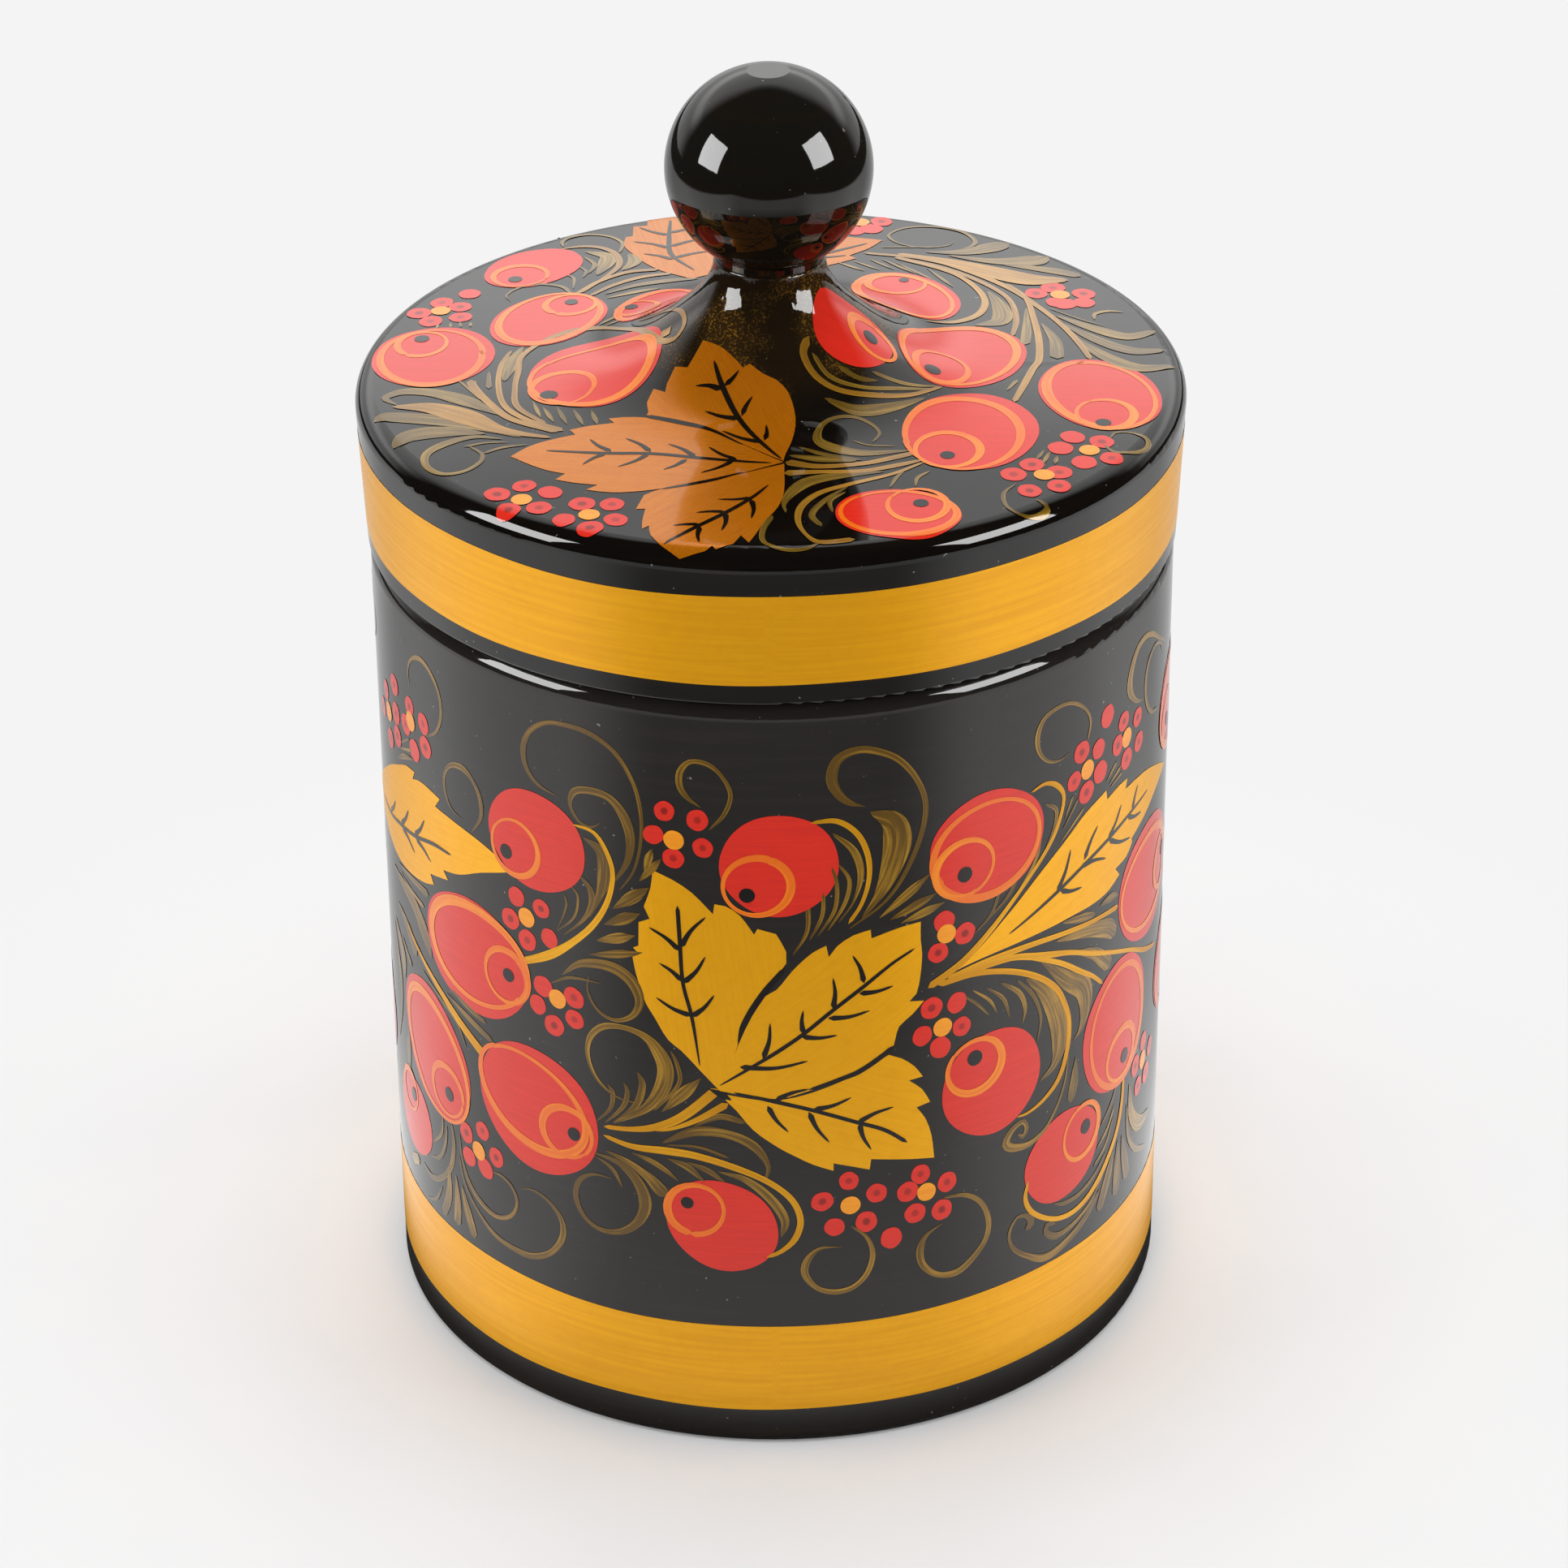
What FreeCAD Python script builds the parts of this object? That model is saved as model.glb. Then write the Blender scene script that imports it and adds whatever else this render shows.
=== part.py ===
"""A turned wooden canister with a lift-off lid and a ball knob, as three separate solids.

Each piece is a profile in the X-Z half plane turned about the Z axis, as on a lathe.
Frame: origin at the middle of the foot, +Z up, millimetres.
"""
import math
import os

import FreeCAD
import Part

# Driving dimensions, in millimetres.
BODY_R = 50.0            # outside of the jar
WALL = 6.0               # jar wall
FLOOR = 8.0              # thickness of the jar's bottom
SHOULDER_Z = 105.7       # where the lid's skirt comes down to
SHOULDER_ROUND = 2.3     # round of the jar's upper outside edge
FOOT_ROUND = 1.1         # round of the jar's lower outside edge
FOOT_HOLLOW_R = 40.0     # shallow hollow turned into the underside
FOOT_HOLLOW_DEPTH = 1.0
INSIDE_CORNER = 6.0      # round between the inside wall and the bottom

RIM_R = 47.0             # raised rim that the lid slips over
RIM_HEIGHT = 11.5
RIM_ROUND = 0.8
LID_CLEARANCE = 0.3      # radial play between the rim and the lid

LID_FOOT_R = 50.25       # the skirt leans out from here ...
LID_RIM_R = 48.55        # ... to the round of the upper edge, whose centre is here
LID_RIM_Z = 123.3
LID_RIM_ROUND = 2.45
LID_EDGE_ROUND = 0.5     # lower outside edge of the skirt
LID_HOLLOW_Z = 118.3     # underside of the lid's crown
LID_HOLLOW_CORNER = 1.5
CROWN_SLOPE = math.radians(2.0)   # the crown rises gently from the edge

NECK_R = 6.85            # top of the neck that carries the knob
NECK_Z = 140.8
NECK_EDGE_ROUND = 0.25
CROWN_POINTS = [         # radius and height along the sweep from crown to neck
    (36.0, 126.2), (28.0, 126.5), (23.5, 126.9), (20.5, 127.65), (18.0, 128.75),
    (15.5, 130.25), (12.8, 132.3), (10.4, 134.4), (8.8, 136.1), (7.6, 137.9),
]

BALL_R = 12.62
BALL_Z = 152.3
COLLAR_R = 6.55          # short collar between the ball and the neck
PIP_R = 2.6              # flat left where the ball was parted off
TENON_R = 3.95           # glued into the neck
TENON_LENGTH = 13.5
SOCKET_R = 4.0
SOCKET_DEPTH = 14.0


def at(radius, height):
    """A point of a profile, in the X-Z plane."""
    return FreeCAD.Vector(radius, 0, height)


def line(start, end):
    return Part.LineSegment(at(*start), at(*end)).toShape()


def round_edge(centre, radius, first, last):
    """An arc of the profile about centre, from one angle to another in degrees."""
    def on_arc(degrees):
        a = math.radians(degrees)
        return at(centre[0] + radius * math.cos(a), centre[1] + radius * math.sin(a))
    return Part.Arc(on_arc(first), on_arc((first + last) / 2), on_arc(last)).toShape()


def turned(edges):
    """The solid that a closed profile sweeps in one turn about Z."""
    face = Part.Face(Part.Wire(Part.__sortEdges__(edges)))
    solid = face.revolve(FreeCAD.Vector(0, 0, 0), FreeCAD.Vector(0, 0, 1), 360)
    if solid.Volume < 0:
        solid.reverse()
    return solid


def jar_body():
    """The jar: foot, wall, rounded shoulder and raised rim, hollowed out from above."""
    bore = BODY_R - WALL
    rim_top = SHOULDER_Z + RIM_HEIGHT
    return turned([
        line((0, FOOT_HOLLOW_DEPTH), (FOOT_HOLLOW_R, FOOT_HOLLOW_DEPTH)),
        line((FOOT_HOLLOW_R, FOOT_HOLLOW_DEPTH), (FOOT_HOLLOW_R + FOOT_HOLLOW_DEPTH, 0)),
        line((FOOT_HOLLOW_R + FOOT_HOLLOW_DEPTH, 0), (BODY_R - FOOT_ROUND, 0)),
        round_edge((BODY_R - FOOT_ROUND, FOOT_ROUND), FOOT_ROUND, -90, 0),
        line((BODY_R, FOOT_ROUND), (BODY_R, SHOULDER_Z - SHOULDER_ROUND)),
        round_edge((BODY_R - SHOULDER_ROUND, SHOULDER_Z - SHOULDER_ROUND), SHOULDER_ROUND, 0, 90),
        line((BODY_R - SHOULDER_ROUND, SHOULDER_Z), (RIM_R, SHOULDER_Z)),
        line((RIM_R, SHOULDER_Z), (RIM_R, rim_top - RIM_ROUND)),
        round_edge((RIM_R - RIM_ROUND, rim_top - RIM_ROUND), RIM_ROUND, 0, 90),
        line((RIM_R - RIM_ROUND, rim_top), (bore + RIM_ROUND, rim_top)),
        round_edge((bore + RIM_ROUND, rim_top - RIM_ROUND), RIM_ROUND, 90, 180),
        line((bore, rim_top - RIM_ROUND), (bore, FLOOR + INSIDE_CORNER)),
        round_edge((bore - INSIDE_CORNER, FLOOR + INSIDE_CORNER), INSIDE_CORNER, 0, -90),
        line((bore - INSIDE_CORNER, FLOOR), (0, FLOOR)),
        line((0, FLOOR), (0, FOOT_HOLLOW_DEPTH)),
    ])


def crown_curve(edge_point):
    """The smooth sweep from the lid's upper edge, over the crown, up to the neck."""
    neck_point = at(NECK_R, NECK_Z - NECK_EDGE_ROUND)
    points = [at(*edge_point)] + [at(*p) for p in CROWN_POINTS] + [neck_point]
    along_crown = FreeCAD.Vector(-math.cos(CROWN_SLOPE), 0, math.sin(CROWN_SLOPE))
    curve = Part.BSplineCurve()
    curve.interpolate(Points=points, InitialTangent=along_crown, FinalTangent=FreeCAD.Vector(0, 0, 1))
    return curve.toShape()


def lid():
    """The lid: a skirt that leans out, a rounded edge, a low crown and a neck with a socket."""
    lean = math.degrees(math.atan2(LID_RIM_R + LID_RIM_ROUND - LID_FOOT_R, LID_RIM_Z - SHOULDER_Z))
    crown = 90 - math.degrees(CROWN_SLOPE)
    hollow_r = RIM_R + LID_CLEARANCE

    def on_rim(degrees):
        a = math.radians(degrees)
        return (LID_RIM_R + LID_RIM_ROUND * math.cos(a), LID_RIM_Z + LID_RIM_ROUND * math.sin(a))

    skirt_start = (LID_FOOT_R, SHOULDER_Z + LID_EDGE_ROUND)
    hollow_corner = (hollow_r - LID_HOLLOW_CORNER, LID_HOLLOW_Z - LID_HOLLOW_CORNER)
    return turned([
        line((hollow_r, SHOULDER_Z), (LID_FOOT_R - LID_EDGE_ROUND, SHOULDER_Z)),
        round_edge((LID_FOOT_R - LID_EDGE_ROUND, SHOULDER_Z + LID_EDGE_ROUND), LID_EDGE_ROUND, -90, 0),
        line(skirt_start, on_rim(-lean)),
        round_edge((LID_RIM_R, LID_RIM_Z), LID_RIM_ROUND, -lean, crown),
        crown_curve(on_rim(crown)),
        round_edge((NECK_R - NECK_EDGE_ROUND, NECK_Z - NECK_EDGE_ROUND), NECK_EDGE_ROUND, 0, 90),
        line((NECK_R - NECK_EDGE_ROUND, NECK_Z), (SOCKET_R, NECK_Z)),
        line((SOCKET_R, NECK_Z), (SOCKET_R, NECK_Z - SOCKET_DEPTH)),
        line((SOCKET_R, NECK_Z - SOCKET_DEPTH), (0, NECK_Z - SOCKET_DEPTH)),
        line((0, NECK_Z - SOCKET_DEPTH), (0, LID_HOLLOW_Z)),
        line((0, LID_HOLLOW_Z), (hollow_corner[0], LID_HOLLOW_Z)),
        round_edge(hollow_corner, LID_HOLLOW_CORNER, 90, 0),
        line((hollow_r, hollow_corner[1]), (hollow_r, SHOULDER_Z)),
    ])


def knob():
    """The knob: a ball with a small flat on top, a collar, and a tenon that goes into the neck."""
    pip_angle = math.degrees(math.acos(PIP_R / BALL_R))
    collar_angle = -math.degrees(math.acos(COLLAR_R / BALL_R))
    pip_z = BALL_Z + math.sqrt(BALL_R ** 2 - PIP_R ** 2)
    collar_top = BALL_Z - math.sqrt(BALL_R ** 2 - COLLAR_R ** 2)
    tenon_end = NECK_Z - TENON_LENGTH
    return turned([
        line((0, tenon_end), (TENON_R, tenon_end)),
        line((TENON_R, tenon_end), (TENON_R, NECK_Z)),
        line((TENON_R, NECK_Z), (COLLAR_R, NECK_Z)),
        line((COLLAR_R, NECK_Z), (COLLAR_R, collar_top)),
        round_edge((0, BALL_Z), BALL_R, collar_angle, pip_angle),
        line((PIP_R, pip_z), (0, pip_z)),
        line((0, pip_z), (0, tenon_end)),
    ])


def main():
    os.makedirs("parts", exist_ok=True)
    for name, make in (("jar_body", jar_body), ("lid", lid), ("knob", knob)):
        shape = make()
        box = shape.BoundBox
        print(name, "valid", shape.isValid(), "solids", len(shape.Solids), "volume", round(shape.Volume),
              "z", round(box.ZMin, 2), round(box.ZMax, 2), "radius", round(box.XMax, 2))
        shape.exportStep(f"parts/{name}.step")


main()
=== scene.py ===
"""Looks of a lidded khokhloma jar: black lacquer painted with gold leaves, red berries, flowers and curls.

Every painted motif is a thin film of its own that follows the turned surface under it. Painting
coordinates are in millimetres: on the wall (distance round from the front, height), on the lid (x, y)
seen from above. They were read off and typed in. The turned shapes themselves are the
frame's own nodes.
"""
import math
import random

import bpy
from mathutils import Matrix, Vector, geometry


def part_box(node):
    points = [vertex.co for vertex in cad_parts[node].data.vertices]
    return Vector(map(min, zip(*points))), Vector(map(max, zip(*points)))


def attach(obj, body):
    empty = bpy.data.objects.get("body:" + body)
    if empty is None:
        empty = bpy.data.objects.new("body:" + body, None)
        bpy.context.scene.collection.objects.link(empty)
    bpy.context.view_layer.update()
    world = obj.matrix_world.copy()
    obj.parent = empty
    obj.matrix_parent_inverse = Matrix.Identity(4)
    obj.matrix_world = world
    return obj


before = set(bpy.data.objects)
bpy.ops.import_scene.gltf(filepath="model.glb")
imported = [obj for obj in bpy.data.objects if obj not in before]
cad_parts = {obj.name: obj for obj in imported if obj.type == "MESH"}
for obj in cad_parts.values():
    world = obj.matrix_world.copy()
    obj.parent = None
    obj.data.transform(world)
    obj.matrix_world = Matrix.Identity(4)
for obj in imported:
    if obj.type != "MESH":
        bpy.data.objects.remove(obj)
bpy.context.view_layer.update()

MM = 0.001

# The surfaces that are painted, read from the frame.
JAR_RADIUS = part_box("jar_body")[1].y / MM
HALF_ROUND = math.pi * JAR_RADIUS      # way round the wall from the front to the back, mm
KNOB_REACH = 6.7                       # the lid's own surface starts outside this radius, mm
PROFILE_GAP = 0.08                     # points of the lid's profile stand at least this far apart, mm

# How far each layer of paint stands off the lacquer, mm.
LEAF_LIFT = 0.026
BERRY_LIFT = 0.03
CURL_LIFT = 0.036
HEART_LIFT = BERRY_LIFT + 0.014
STEM_LIFT = 0.048
VEIN_LIFT = 0.06
LINE_LIFT = 0.064
DOT_LIFT = 0.078
STEP_LIFT = 0.0016                     # strokes that cross differ by this much
STEP_CYCLE = 7
LID_LIFT = 0.024                       # added on the lid, whose curves have coarser facets
ROUNDING_LIFT = 0.035                  # and added again where the lid rounds over

# Outlines and the films inside them.
SAMPLE = 0.6                           # spacing of the points along a stroke, mm
SHORTEST = 1e-4                        # points of a line count as at least this far apart, mm
CORNER = math.radians(38)              # an outline that turns more than this keeps a sharp corner
FILL_GRID = 1.8                        # spacing of the points inside a leaf, mm
FINE_GRID = 0.6                        # the same where the lid rounds over
FINE_BEYOND = 47.5                     # radius at which the rounding starts, mm
ONLY_INSIDE = 1                        # the triangulation keeps what lies within the outline,
SAME_POINT = 1e-5                      # and merges points closer than this, mm

# Strokes, in mm; a tone runs from 0, the paint's light colour, to 1, its dark one.
FINEST = 0.07                          # width of a stroke's very tip
ACROSS = (-1.0, -0.5, 0.0, 0.5, 1.0)   # the points across a stroke, in half widths
TONE_SPREAD = 0.6
BRUSH_SPREAD = 50.0                    # how far along its streaks a stroke may start
END_FADE = 0.5                         # how much darker a stroke's ends are,
END_PART = 0.3                         # over this part of its length
EDGE_LIGHTER = 0.25
LEAFLET_TIP = 0.1
LEAFLET_RISE = 0.35                    # part of its length at which a leaflet has nearly swelled
LEAFLET_SWELL = 0.85

# Filled ellipses: (points round, rings) of each kind, and how uneven their edges are.
BERRY_MESH = (72, 14)
PETAL_MESH = (28, 4)
HEART_MESH = (28, 3)
DOT_MESH = (24, 2)
EDGE_WAVER = 0.012
PETAL_WAVER = 0.03
FINER_WAVE = 0.6                       # size of an uneven edge's finer wave against its slower one
PHASE_SPREAD = 6.0
DISC_SPREAD = 40.0                     # how far apart two discs may lie on the brush's streaks, mm
TALLER = 1.05                          # height of a dot or a flower's heart against its width

# Brushed rings.
RING_STEPS = 26
RING_OVERLAP = 0.18                    # radians
RING_SWAY = 0.018
RING_SHRINK = 0.02
RING_PRESSURE = 0.4

# Gold bands, heights in mm.
JAR_BAND = (5.1, 17.8)
LID_BAND = (108.4, 120.25)
BAND_SEGMENTS = 320
BAND_ROWS = 4
BAND_WAVER = 0.12
BAND_TONE = 0.15

hand = random.Random(11)


# ---------------------------------------------------------------- surfaces

def side_place(profile, turn=0.0):
    """Maps (distance round, height) in mm onto a turned side wall, given the (height, radius) of its ends."""
    (low, low_radius), (high, high_radius) = profile
    lean = math.atan2(high_radius - low_radius, high - low)

    def place(u, v, lift):
        part = min(max((v - low) / (high - low), 0.0), 1.0)
        radius = low_radius + part * (high_radius - low_radius)
        angle = (u + turn) / JAR_RADIUS - math.pi / 2
        normal = Vector((math.cos(angle) * math.cos(lean), math.sin(angle) * math.cos(lean), -math.sin(lean)))
        spot = Vector((math.cos(angle) * radius, math.sin(angle) * radius, v))
        return (spot + normal * lift) * MM, normal
    return place


def outer_profile(node):
    """The lid's outer surface as (radius, height) in mm, from the top of its neck out to its widest point."""
    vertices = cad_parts[node].data.vertices
    widest = max(vertices, key=lambda v: v.co.xy.length)
    points = set()
    for vertex in vertices:
        radius = vertex.co.xy.length / MM
        if radius > KNOB_REACH and vertex.co.z >= widest.co.z:
            points.add((round(radius, 3), round(vertex.co.z / MM, 3)))
    kept = []
    for point in sorted(points):
        if not kept or point[0] - kept[-1][0] > PROFILE_GAP:
            kept.append(point)
    reach = widest.co.xy.length / MM
    while reach - kept[-1][0] < PROFILE_GAP:
        kept.pop()
    kept.append((reach, widest.co.z / MM))
    return kept


def profile_normals(profile):
    """The outward direction at each point of a profile, averaged over the stretches beside it."""
    normals = []
    for i in range(len(profile)):
        before = Vector(profile[max(i - 1, 0)])
        after = Vector(profile[min(i + 1, len(profile) - 1)])
        along = (after - before).normalized()
        normals.append(Vector((-along.y, along.x)))
    return normals


def stretch_at(radii, radius):
    """The number of the profile's stretch that a radius falls in, found by halving."""
    low = 0
    high = len(radii) - 1
    while high - low > 1:
        middle = (low + high) // 2
        if radii[middle] <= radius:
            low = middle
        else:
            high = middle
    return low


def plan_place(profile):
    """Maps (x, y) in mm, seen from above, onto the turned surface that the profile describes."""
    normals = profile_normals(profile)
    radii = [p[0] for p in profile]

    def place(u, v, lift):
        radius = min(max(math.hypot(u, v), radii[0]), radii[-1])
        low = stretch_at(radii, radius)
        high = low + 1
        part = (radius - radii[low]) / (radii[high] - radii[low])
        height = profile[low][1] + part * (profile[high][1] - profile[low][1])
        slope = normals[low].lerp(normals[high], part).normalized()
        out = Vector((u, v)).normalized()
        normal = Vector((out.x * slope.x, out.y * slope.x, slope.y))
        spot = Vector((out.x * radius, out.y * radius, height))
        rounding = min(max(radius - FINE_BEYOND, 0.0), 1.0) * ROUNDING_LIFT
        return (spot + normal * (lift + LID_LIFT + rounding)) * MM, normal
    return place


def skirt_foot(node):
    """(height, radius) in mm of the widest spot in the skirt's lowest millimetre."""
    edge_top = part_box(node)[0].z + MM
    low_spots = [v.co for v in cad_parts[node].data.vertices if v.co.z < edge_top]
    widest = max(low_spots, key=lambda spot: spot.xy.length)
    return widest.z / MM, widest.xy.length / MM


# ---------------------------------------------------------------- coats of paint

class Coat:
    """Everything painted on one body with one paint, gathered into one mesh."""

    def __init__(self, name, body, slot, material):
        self.name = name
        self.body = body
        self.slot = slot
        self.material = material
        self.spots = []
        self.normals = []
        self.brush = []
        self.tones = []
        self.faces = []
        self.count = 0

    def point(self, spot, brush, tone):
        """Adds a vertex: its place and normal, where it lies on the brush's streaks, and its tone."""
        self.spots.append(spot[0])
        self.normals.append(spot[1])
        self.brush.append(brush)
        self.tones.append(tone)
        return len(self.spots) - 1

    def layer(self, lift):
        """The next stroke's own lift, so that strokes laid soon after each other never share a height."""
        self.count += 1
        return lift + STEP_LIFT * (self.count % STEP_CYCLE)

    def build(self):
        mesh = bpy.data.meshes.new(self.name)
        mesh.from_pydata(self.spots, [], self.faces)
        mesh.polygons.foreach_set("use_smooth", [True] * len(mesh.polygons))
        uv = mesh.uv_layers.new(name="brush")
        for loop in mesh.loops:
            uv.data[loop.index].uv = self.brush[loop.vertex_index]
        tone = mesh.attributes.new("tone", "FLOAT", "POINT")
        tone.data.foreach_set("value", self.tones)
        mesh.normals_split_custom_set_from_vertices(self.normals)
        mesh.materials.append(self.material)
        piece = bpy.data.objects.new(self.name, mesh)
        bpy.context.scene.collection.objects.link(piece)
        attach(piece, self.body)


def chord_knots(points):
    """How far along a line each of its points lies."""
    knots = [0.0]
    for before, after in zip(points, points[1:]):
        knots.append(knots[-1] + max((after.xy - before.xy).length, SHORTEST))
    return knots


def smooth_line(points, step=SAMPLE):
    """Points about one step apart on a smooth curve through the given (u, v) or (u, v, width) points."""
    points = [Vector(p if len(p) == 3 else (p[0], p[1], 0.0)) for p in points]
    knots = chord_knots(points)
    last = len(points) - 1
    slopes = []
    for i in range(last + 1):
        before = max(i - 1, 0)
        after = min(i + 1, last)
        slopes.append((points[after] - points[before]) / (knots[after] - knots[before]))
    line = []
    for i in range(last):
        gap = knots[i + 1] - knots[i]
        pieces = max(1, round(gap / step))
        for k in range(pieces):
            t = k / pieces
            start = points[i] * (1 + 2 * t) * (1 - t) ** 2 + slopes[i] * gap * t * (1 - t) ** 2
            end = points[i + 1] * t * t * (3 - 2 * t) - slopes[i + 1] * gap * t * t * (1 - t)
            line.append(start + end)
    line.append(points[last])
    return line


def smooth_outline(points):
    """A closed outline that is smooth except where it turns sharply, as at a leaf's teeth."""
    count = len(points)
    corners = []
    for i in range(count):
        before = Vector(points[i]) - Vector(points[i - 1])
        after = Vector(points[(i + 1) % count]) - Vector(points[i])
        if abs(before.angle_signed(after)) > CORNER:
            corners.append(i)
    outline = []
    for start, end in zip(corners, corners[1:] + [corners[0] + count]):
        run = [points[i % count] for i in range(start, end + 1)]
        outline += [p.xy for p in smooth_line(run, 2 * SAMPLE)][:-1]
    return outline


def inside(spot, outline):
    """Whether a point lies within a closed outline."""
    crossings = 0
    for a, b in zip(outline, outline[1:] + outline[:1]):
        if (a.y > spot.y) != (b.y > spot.y):
            crossings += spot.x < a.x + (spot.y - a.y) / (b.y - a.y) * (b.x - a.x)
    return crossings % 2 == 1


def everywhere(spot):
    return True


def on_rounding(spot):
    return spot.length > FINE_BEYOND


def on_flat(spot):
    return spot.length <= FINE_BEYOND


def grid_spots(outline, step, wanted):
    """Evenly spread points inside an outline, where wanted says so."""
    spots = []
    left, right = min(p.x for p in outline), max(p.x for p in outline)
    bottom, top = min(p.y for p in outline), max(p.y for p in outline)
    for column in range(1, int((right - left) / step) + 1):
        for row in range(1, int((top - bottom) / step) + 1):
            spot = Vector((left + column * step, bottom + (row + column % 2 * 0.5) * step))
            if wanted(spot) and inside(spot, outline):
                spots.append(spot)
    return spots


def fill(coat, place, points, lift, grain, rounded):
    """A film of paint inside an outline; grain is the brush's direction, rounded is for the lid."""
    outline = smooth_outline(points)
    border = len(outline)
    spots = list(outline)
    if rounded:
        spots += grid_spots(outline, FILL_GRID, on_flat) + grid_spots(outline, FINE_GRID, on_rounding)
    else:
        spots += grid_spots(outline, FILL_GRID, everywhere)
    edges = [(i, (i + 1) % border) for i in range(border)]
    made = geometry.delaunay_2d_cdt(spots, edges, [], ONLY_INSIDE, SAME_POINT)
    along = Vector(grain).normalized()
    lift = coat.layer(lift)
    numbers = []
    for spot in made[0]:
        brush = (spot.dot(along), spot.x * along.y - spot.y * along.x)
        numbers.append(coat.point(place(spot.x, spot.y, lift), brush, 0.0))
    for face in made[2]:
        a, b, c = (made[0][i] for i in face)
        order = face if (b - a).cross(c - a) > 0 else face[::-1]
        coat.faces.append([numbers[i] for i in order])


def stroke(coat, place, points, lift):
    """One brush stroke along (u, v, width) points, round at a wide end and sharp at a fine one."""
    line = smooth_line(points)
    ways = chord_knots(line)
    lift = coat.layer(lift)
    tone = hand.uniform(0.0, TONE_SPREAD)
    start = hand.uniform(0.0, BRUSH_SPREAD)
    rows = []
    for i, spot in enumerate(line):
        along = (line[min(i + 1, len(line) - 1)] - line[max(i - 1, 0)]).xy
        side = Vector((-along.y, along.x)).normalized()
        width = max(spot.z, FINEST)
        to_end = min(ways[i], ways[-1] - ways[i])
        cap = math.sqrt(max(1 - (1 - min(to_end / (width / 2), 1.0)) ** 2, 0.0))
        half = max(width * cap, FINEST) / 2
        fade = END_FADE * (1 - min(1.0, to_end / (END_PART * ways[-1])))
        row = []
        for across in ACROSS:
            u = spot.x + side.x * half * across
            v = spot.y + side.y * half * across
            here = tone + fade - EDGE_LIGHTER * abs(across)
            row.append(coat.point(place(u, v, lift), (start + ways[i], start + across * half), here))
        rows.append(row)
    for before, after in zip(rows, rows[1:]):
        for k in range(len(ACROSS) - 1):
            coat.faces.append((before[k], after[k], after[k + 1], before[k + 1]))


def between(base, tip, part):
    """The point that lies this part of the way from base to tip."""
    return (1 - part) * base[0] + part * tip[0], (1 - part) * base[1] + part * tip[1]


def leaflet(coat, place, base, tip, width, lift):
    """A small pointed stroke, widest past its middle."""
    points = [(*base, LEAFLET_TIP), (*between(base, tip, LEAFLET_RISE), LEAFLET_SWELL * width)]
    points += [(*between(base, tip, 1 - LEAFLET_RISE), width), (*tip, LEAFLET_TIP)]
    stroke(coat, place, points, lift)


def on_ellipse(shape, turn, size):
    """A point of an ellipse given as (u, v, half length, half height, tilt in degrees)."""
    tilt = math.radians(shape[4])
    x = shape[2] * size * math.cos(turn)
    y = shape[3] * size * math.sin(turn)
    u = shape[0] + x * math.cos(tilt) - y * math.sin(tilt)
    v = shape[1] + x * math.sin(tilt) + y * math.cos(tilt)
    return u, v


def disc(coat, place, shape, lift, detail, heart=0.0, waver=EDGE_WAVER):
    """A filled ellipse with a slightly uneven edge; heart darkens its middle."""
    segments, rings = detail
    lift = coat.layer(lift)
    phase = hand.uniform(0.0, PHASE_SPREAD)
    brush_at = hand.uniform(0.0, DISC_SPREAD)
    middle = coat.point(place(shape[0], shape[1], lift), (brush_at, brush_at), heart)
    inner = []
    for ring in range(1, rings + 1):
        outer = []
        shade = heart if ring == 1 else 0.0
        for k in range(segments):
            turn = 2 * math.pi * k / segments
            fine = waver * FINER_WAVE * math.sin(5 * turn + 2 * phase)
            uneven = 1 + waver * math.sin(2 * turn + phase) + fine
            u, v = on_ellipse(shape, turn, uneven * ring / rings)
            brush = (brush_at + u - shape[0], brush_at + v - shape[1])
            outer.append(coat.point(place(u, v, lift), brush, shade))
        for k in range(segments):
            after = (k + 1) % segments
            if ring == 1:
                coat.faces.append((middle, outer[k], outer[after]))
            else:
                coat.faces.append((inner[k], outer[k], outer[after], inner[after]))
        inner = outer


def ring_line(coat, place, shape, lift):
    """A brushed ring round an ellipse, heavier on one side, whose two ends overlap a little."""
    phase = hand.uniform(0.0, 2 * math.pi)
    points = []
    for k in range(RING_STEPS + 1):
        part = k / RING_STEPS
        turn = phase + part * (2 * math.pi + RING_OVERLAP)
        size = 1.0 + RING_SWAY * math.sin(2 * turn) - RING_SHRINK * part
        u, v = on_ellipse(shape, turn, size)
        points.append((u, v, shape[5] * (1.0 + RING_PRESSURE * math.sin(turn + phase))))
    stroke(coat, place, points, lift)


def edge_waver(slow, fine):
    """How far a band's edge wavers: two waves, the second one the finer."""
    return BAND_WAVER * (math.sin(slow) + FINER_WAVE * math.sin(fine))


def band(coat, place, heights, lift):
    """A gold band all the way round between two heights, with edges that waver a little."""
    rows = []
    for row in range(BAND_ROWS + 1):
        part = row / BAND_ROWS
        ring = []
        for k in range(BAND_SEGMENTS):
            angle = 2 * math.pi * k / BAND_SEGMENTS
            low = heights[0] + edge_waver(3 * angle + 1, 11 * angle)
            high = heights[1] + edge_waver(4 * angle, 9 * angle + 2)
            v = low + part * (high - low)
            u = 2 * HALF_ROUND * k / BAND_SEGMENTS
            ring.append(coat.point(place(u, v, lift), (u, v), BAND_TONE))
        rows.append(ring)
    for before, after in zip(rows, rows[1:]):
        for k in range(BAND_SEGMENTS):
            beside = (k + 1) % BAND_SEGMENTS
            coat.faces.append((before[k], before[beside], after[beside], after[k]))


# ---------------------------------------------------------------- the jar's painting

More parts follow.
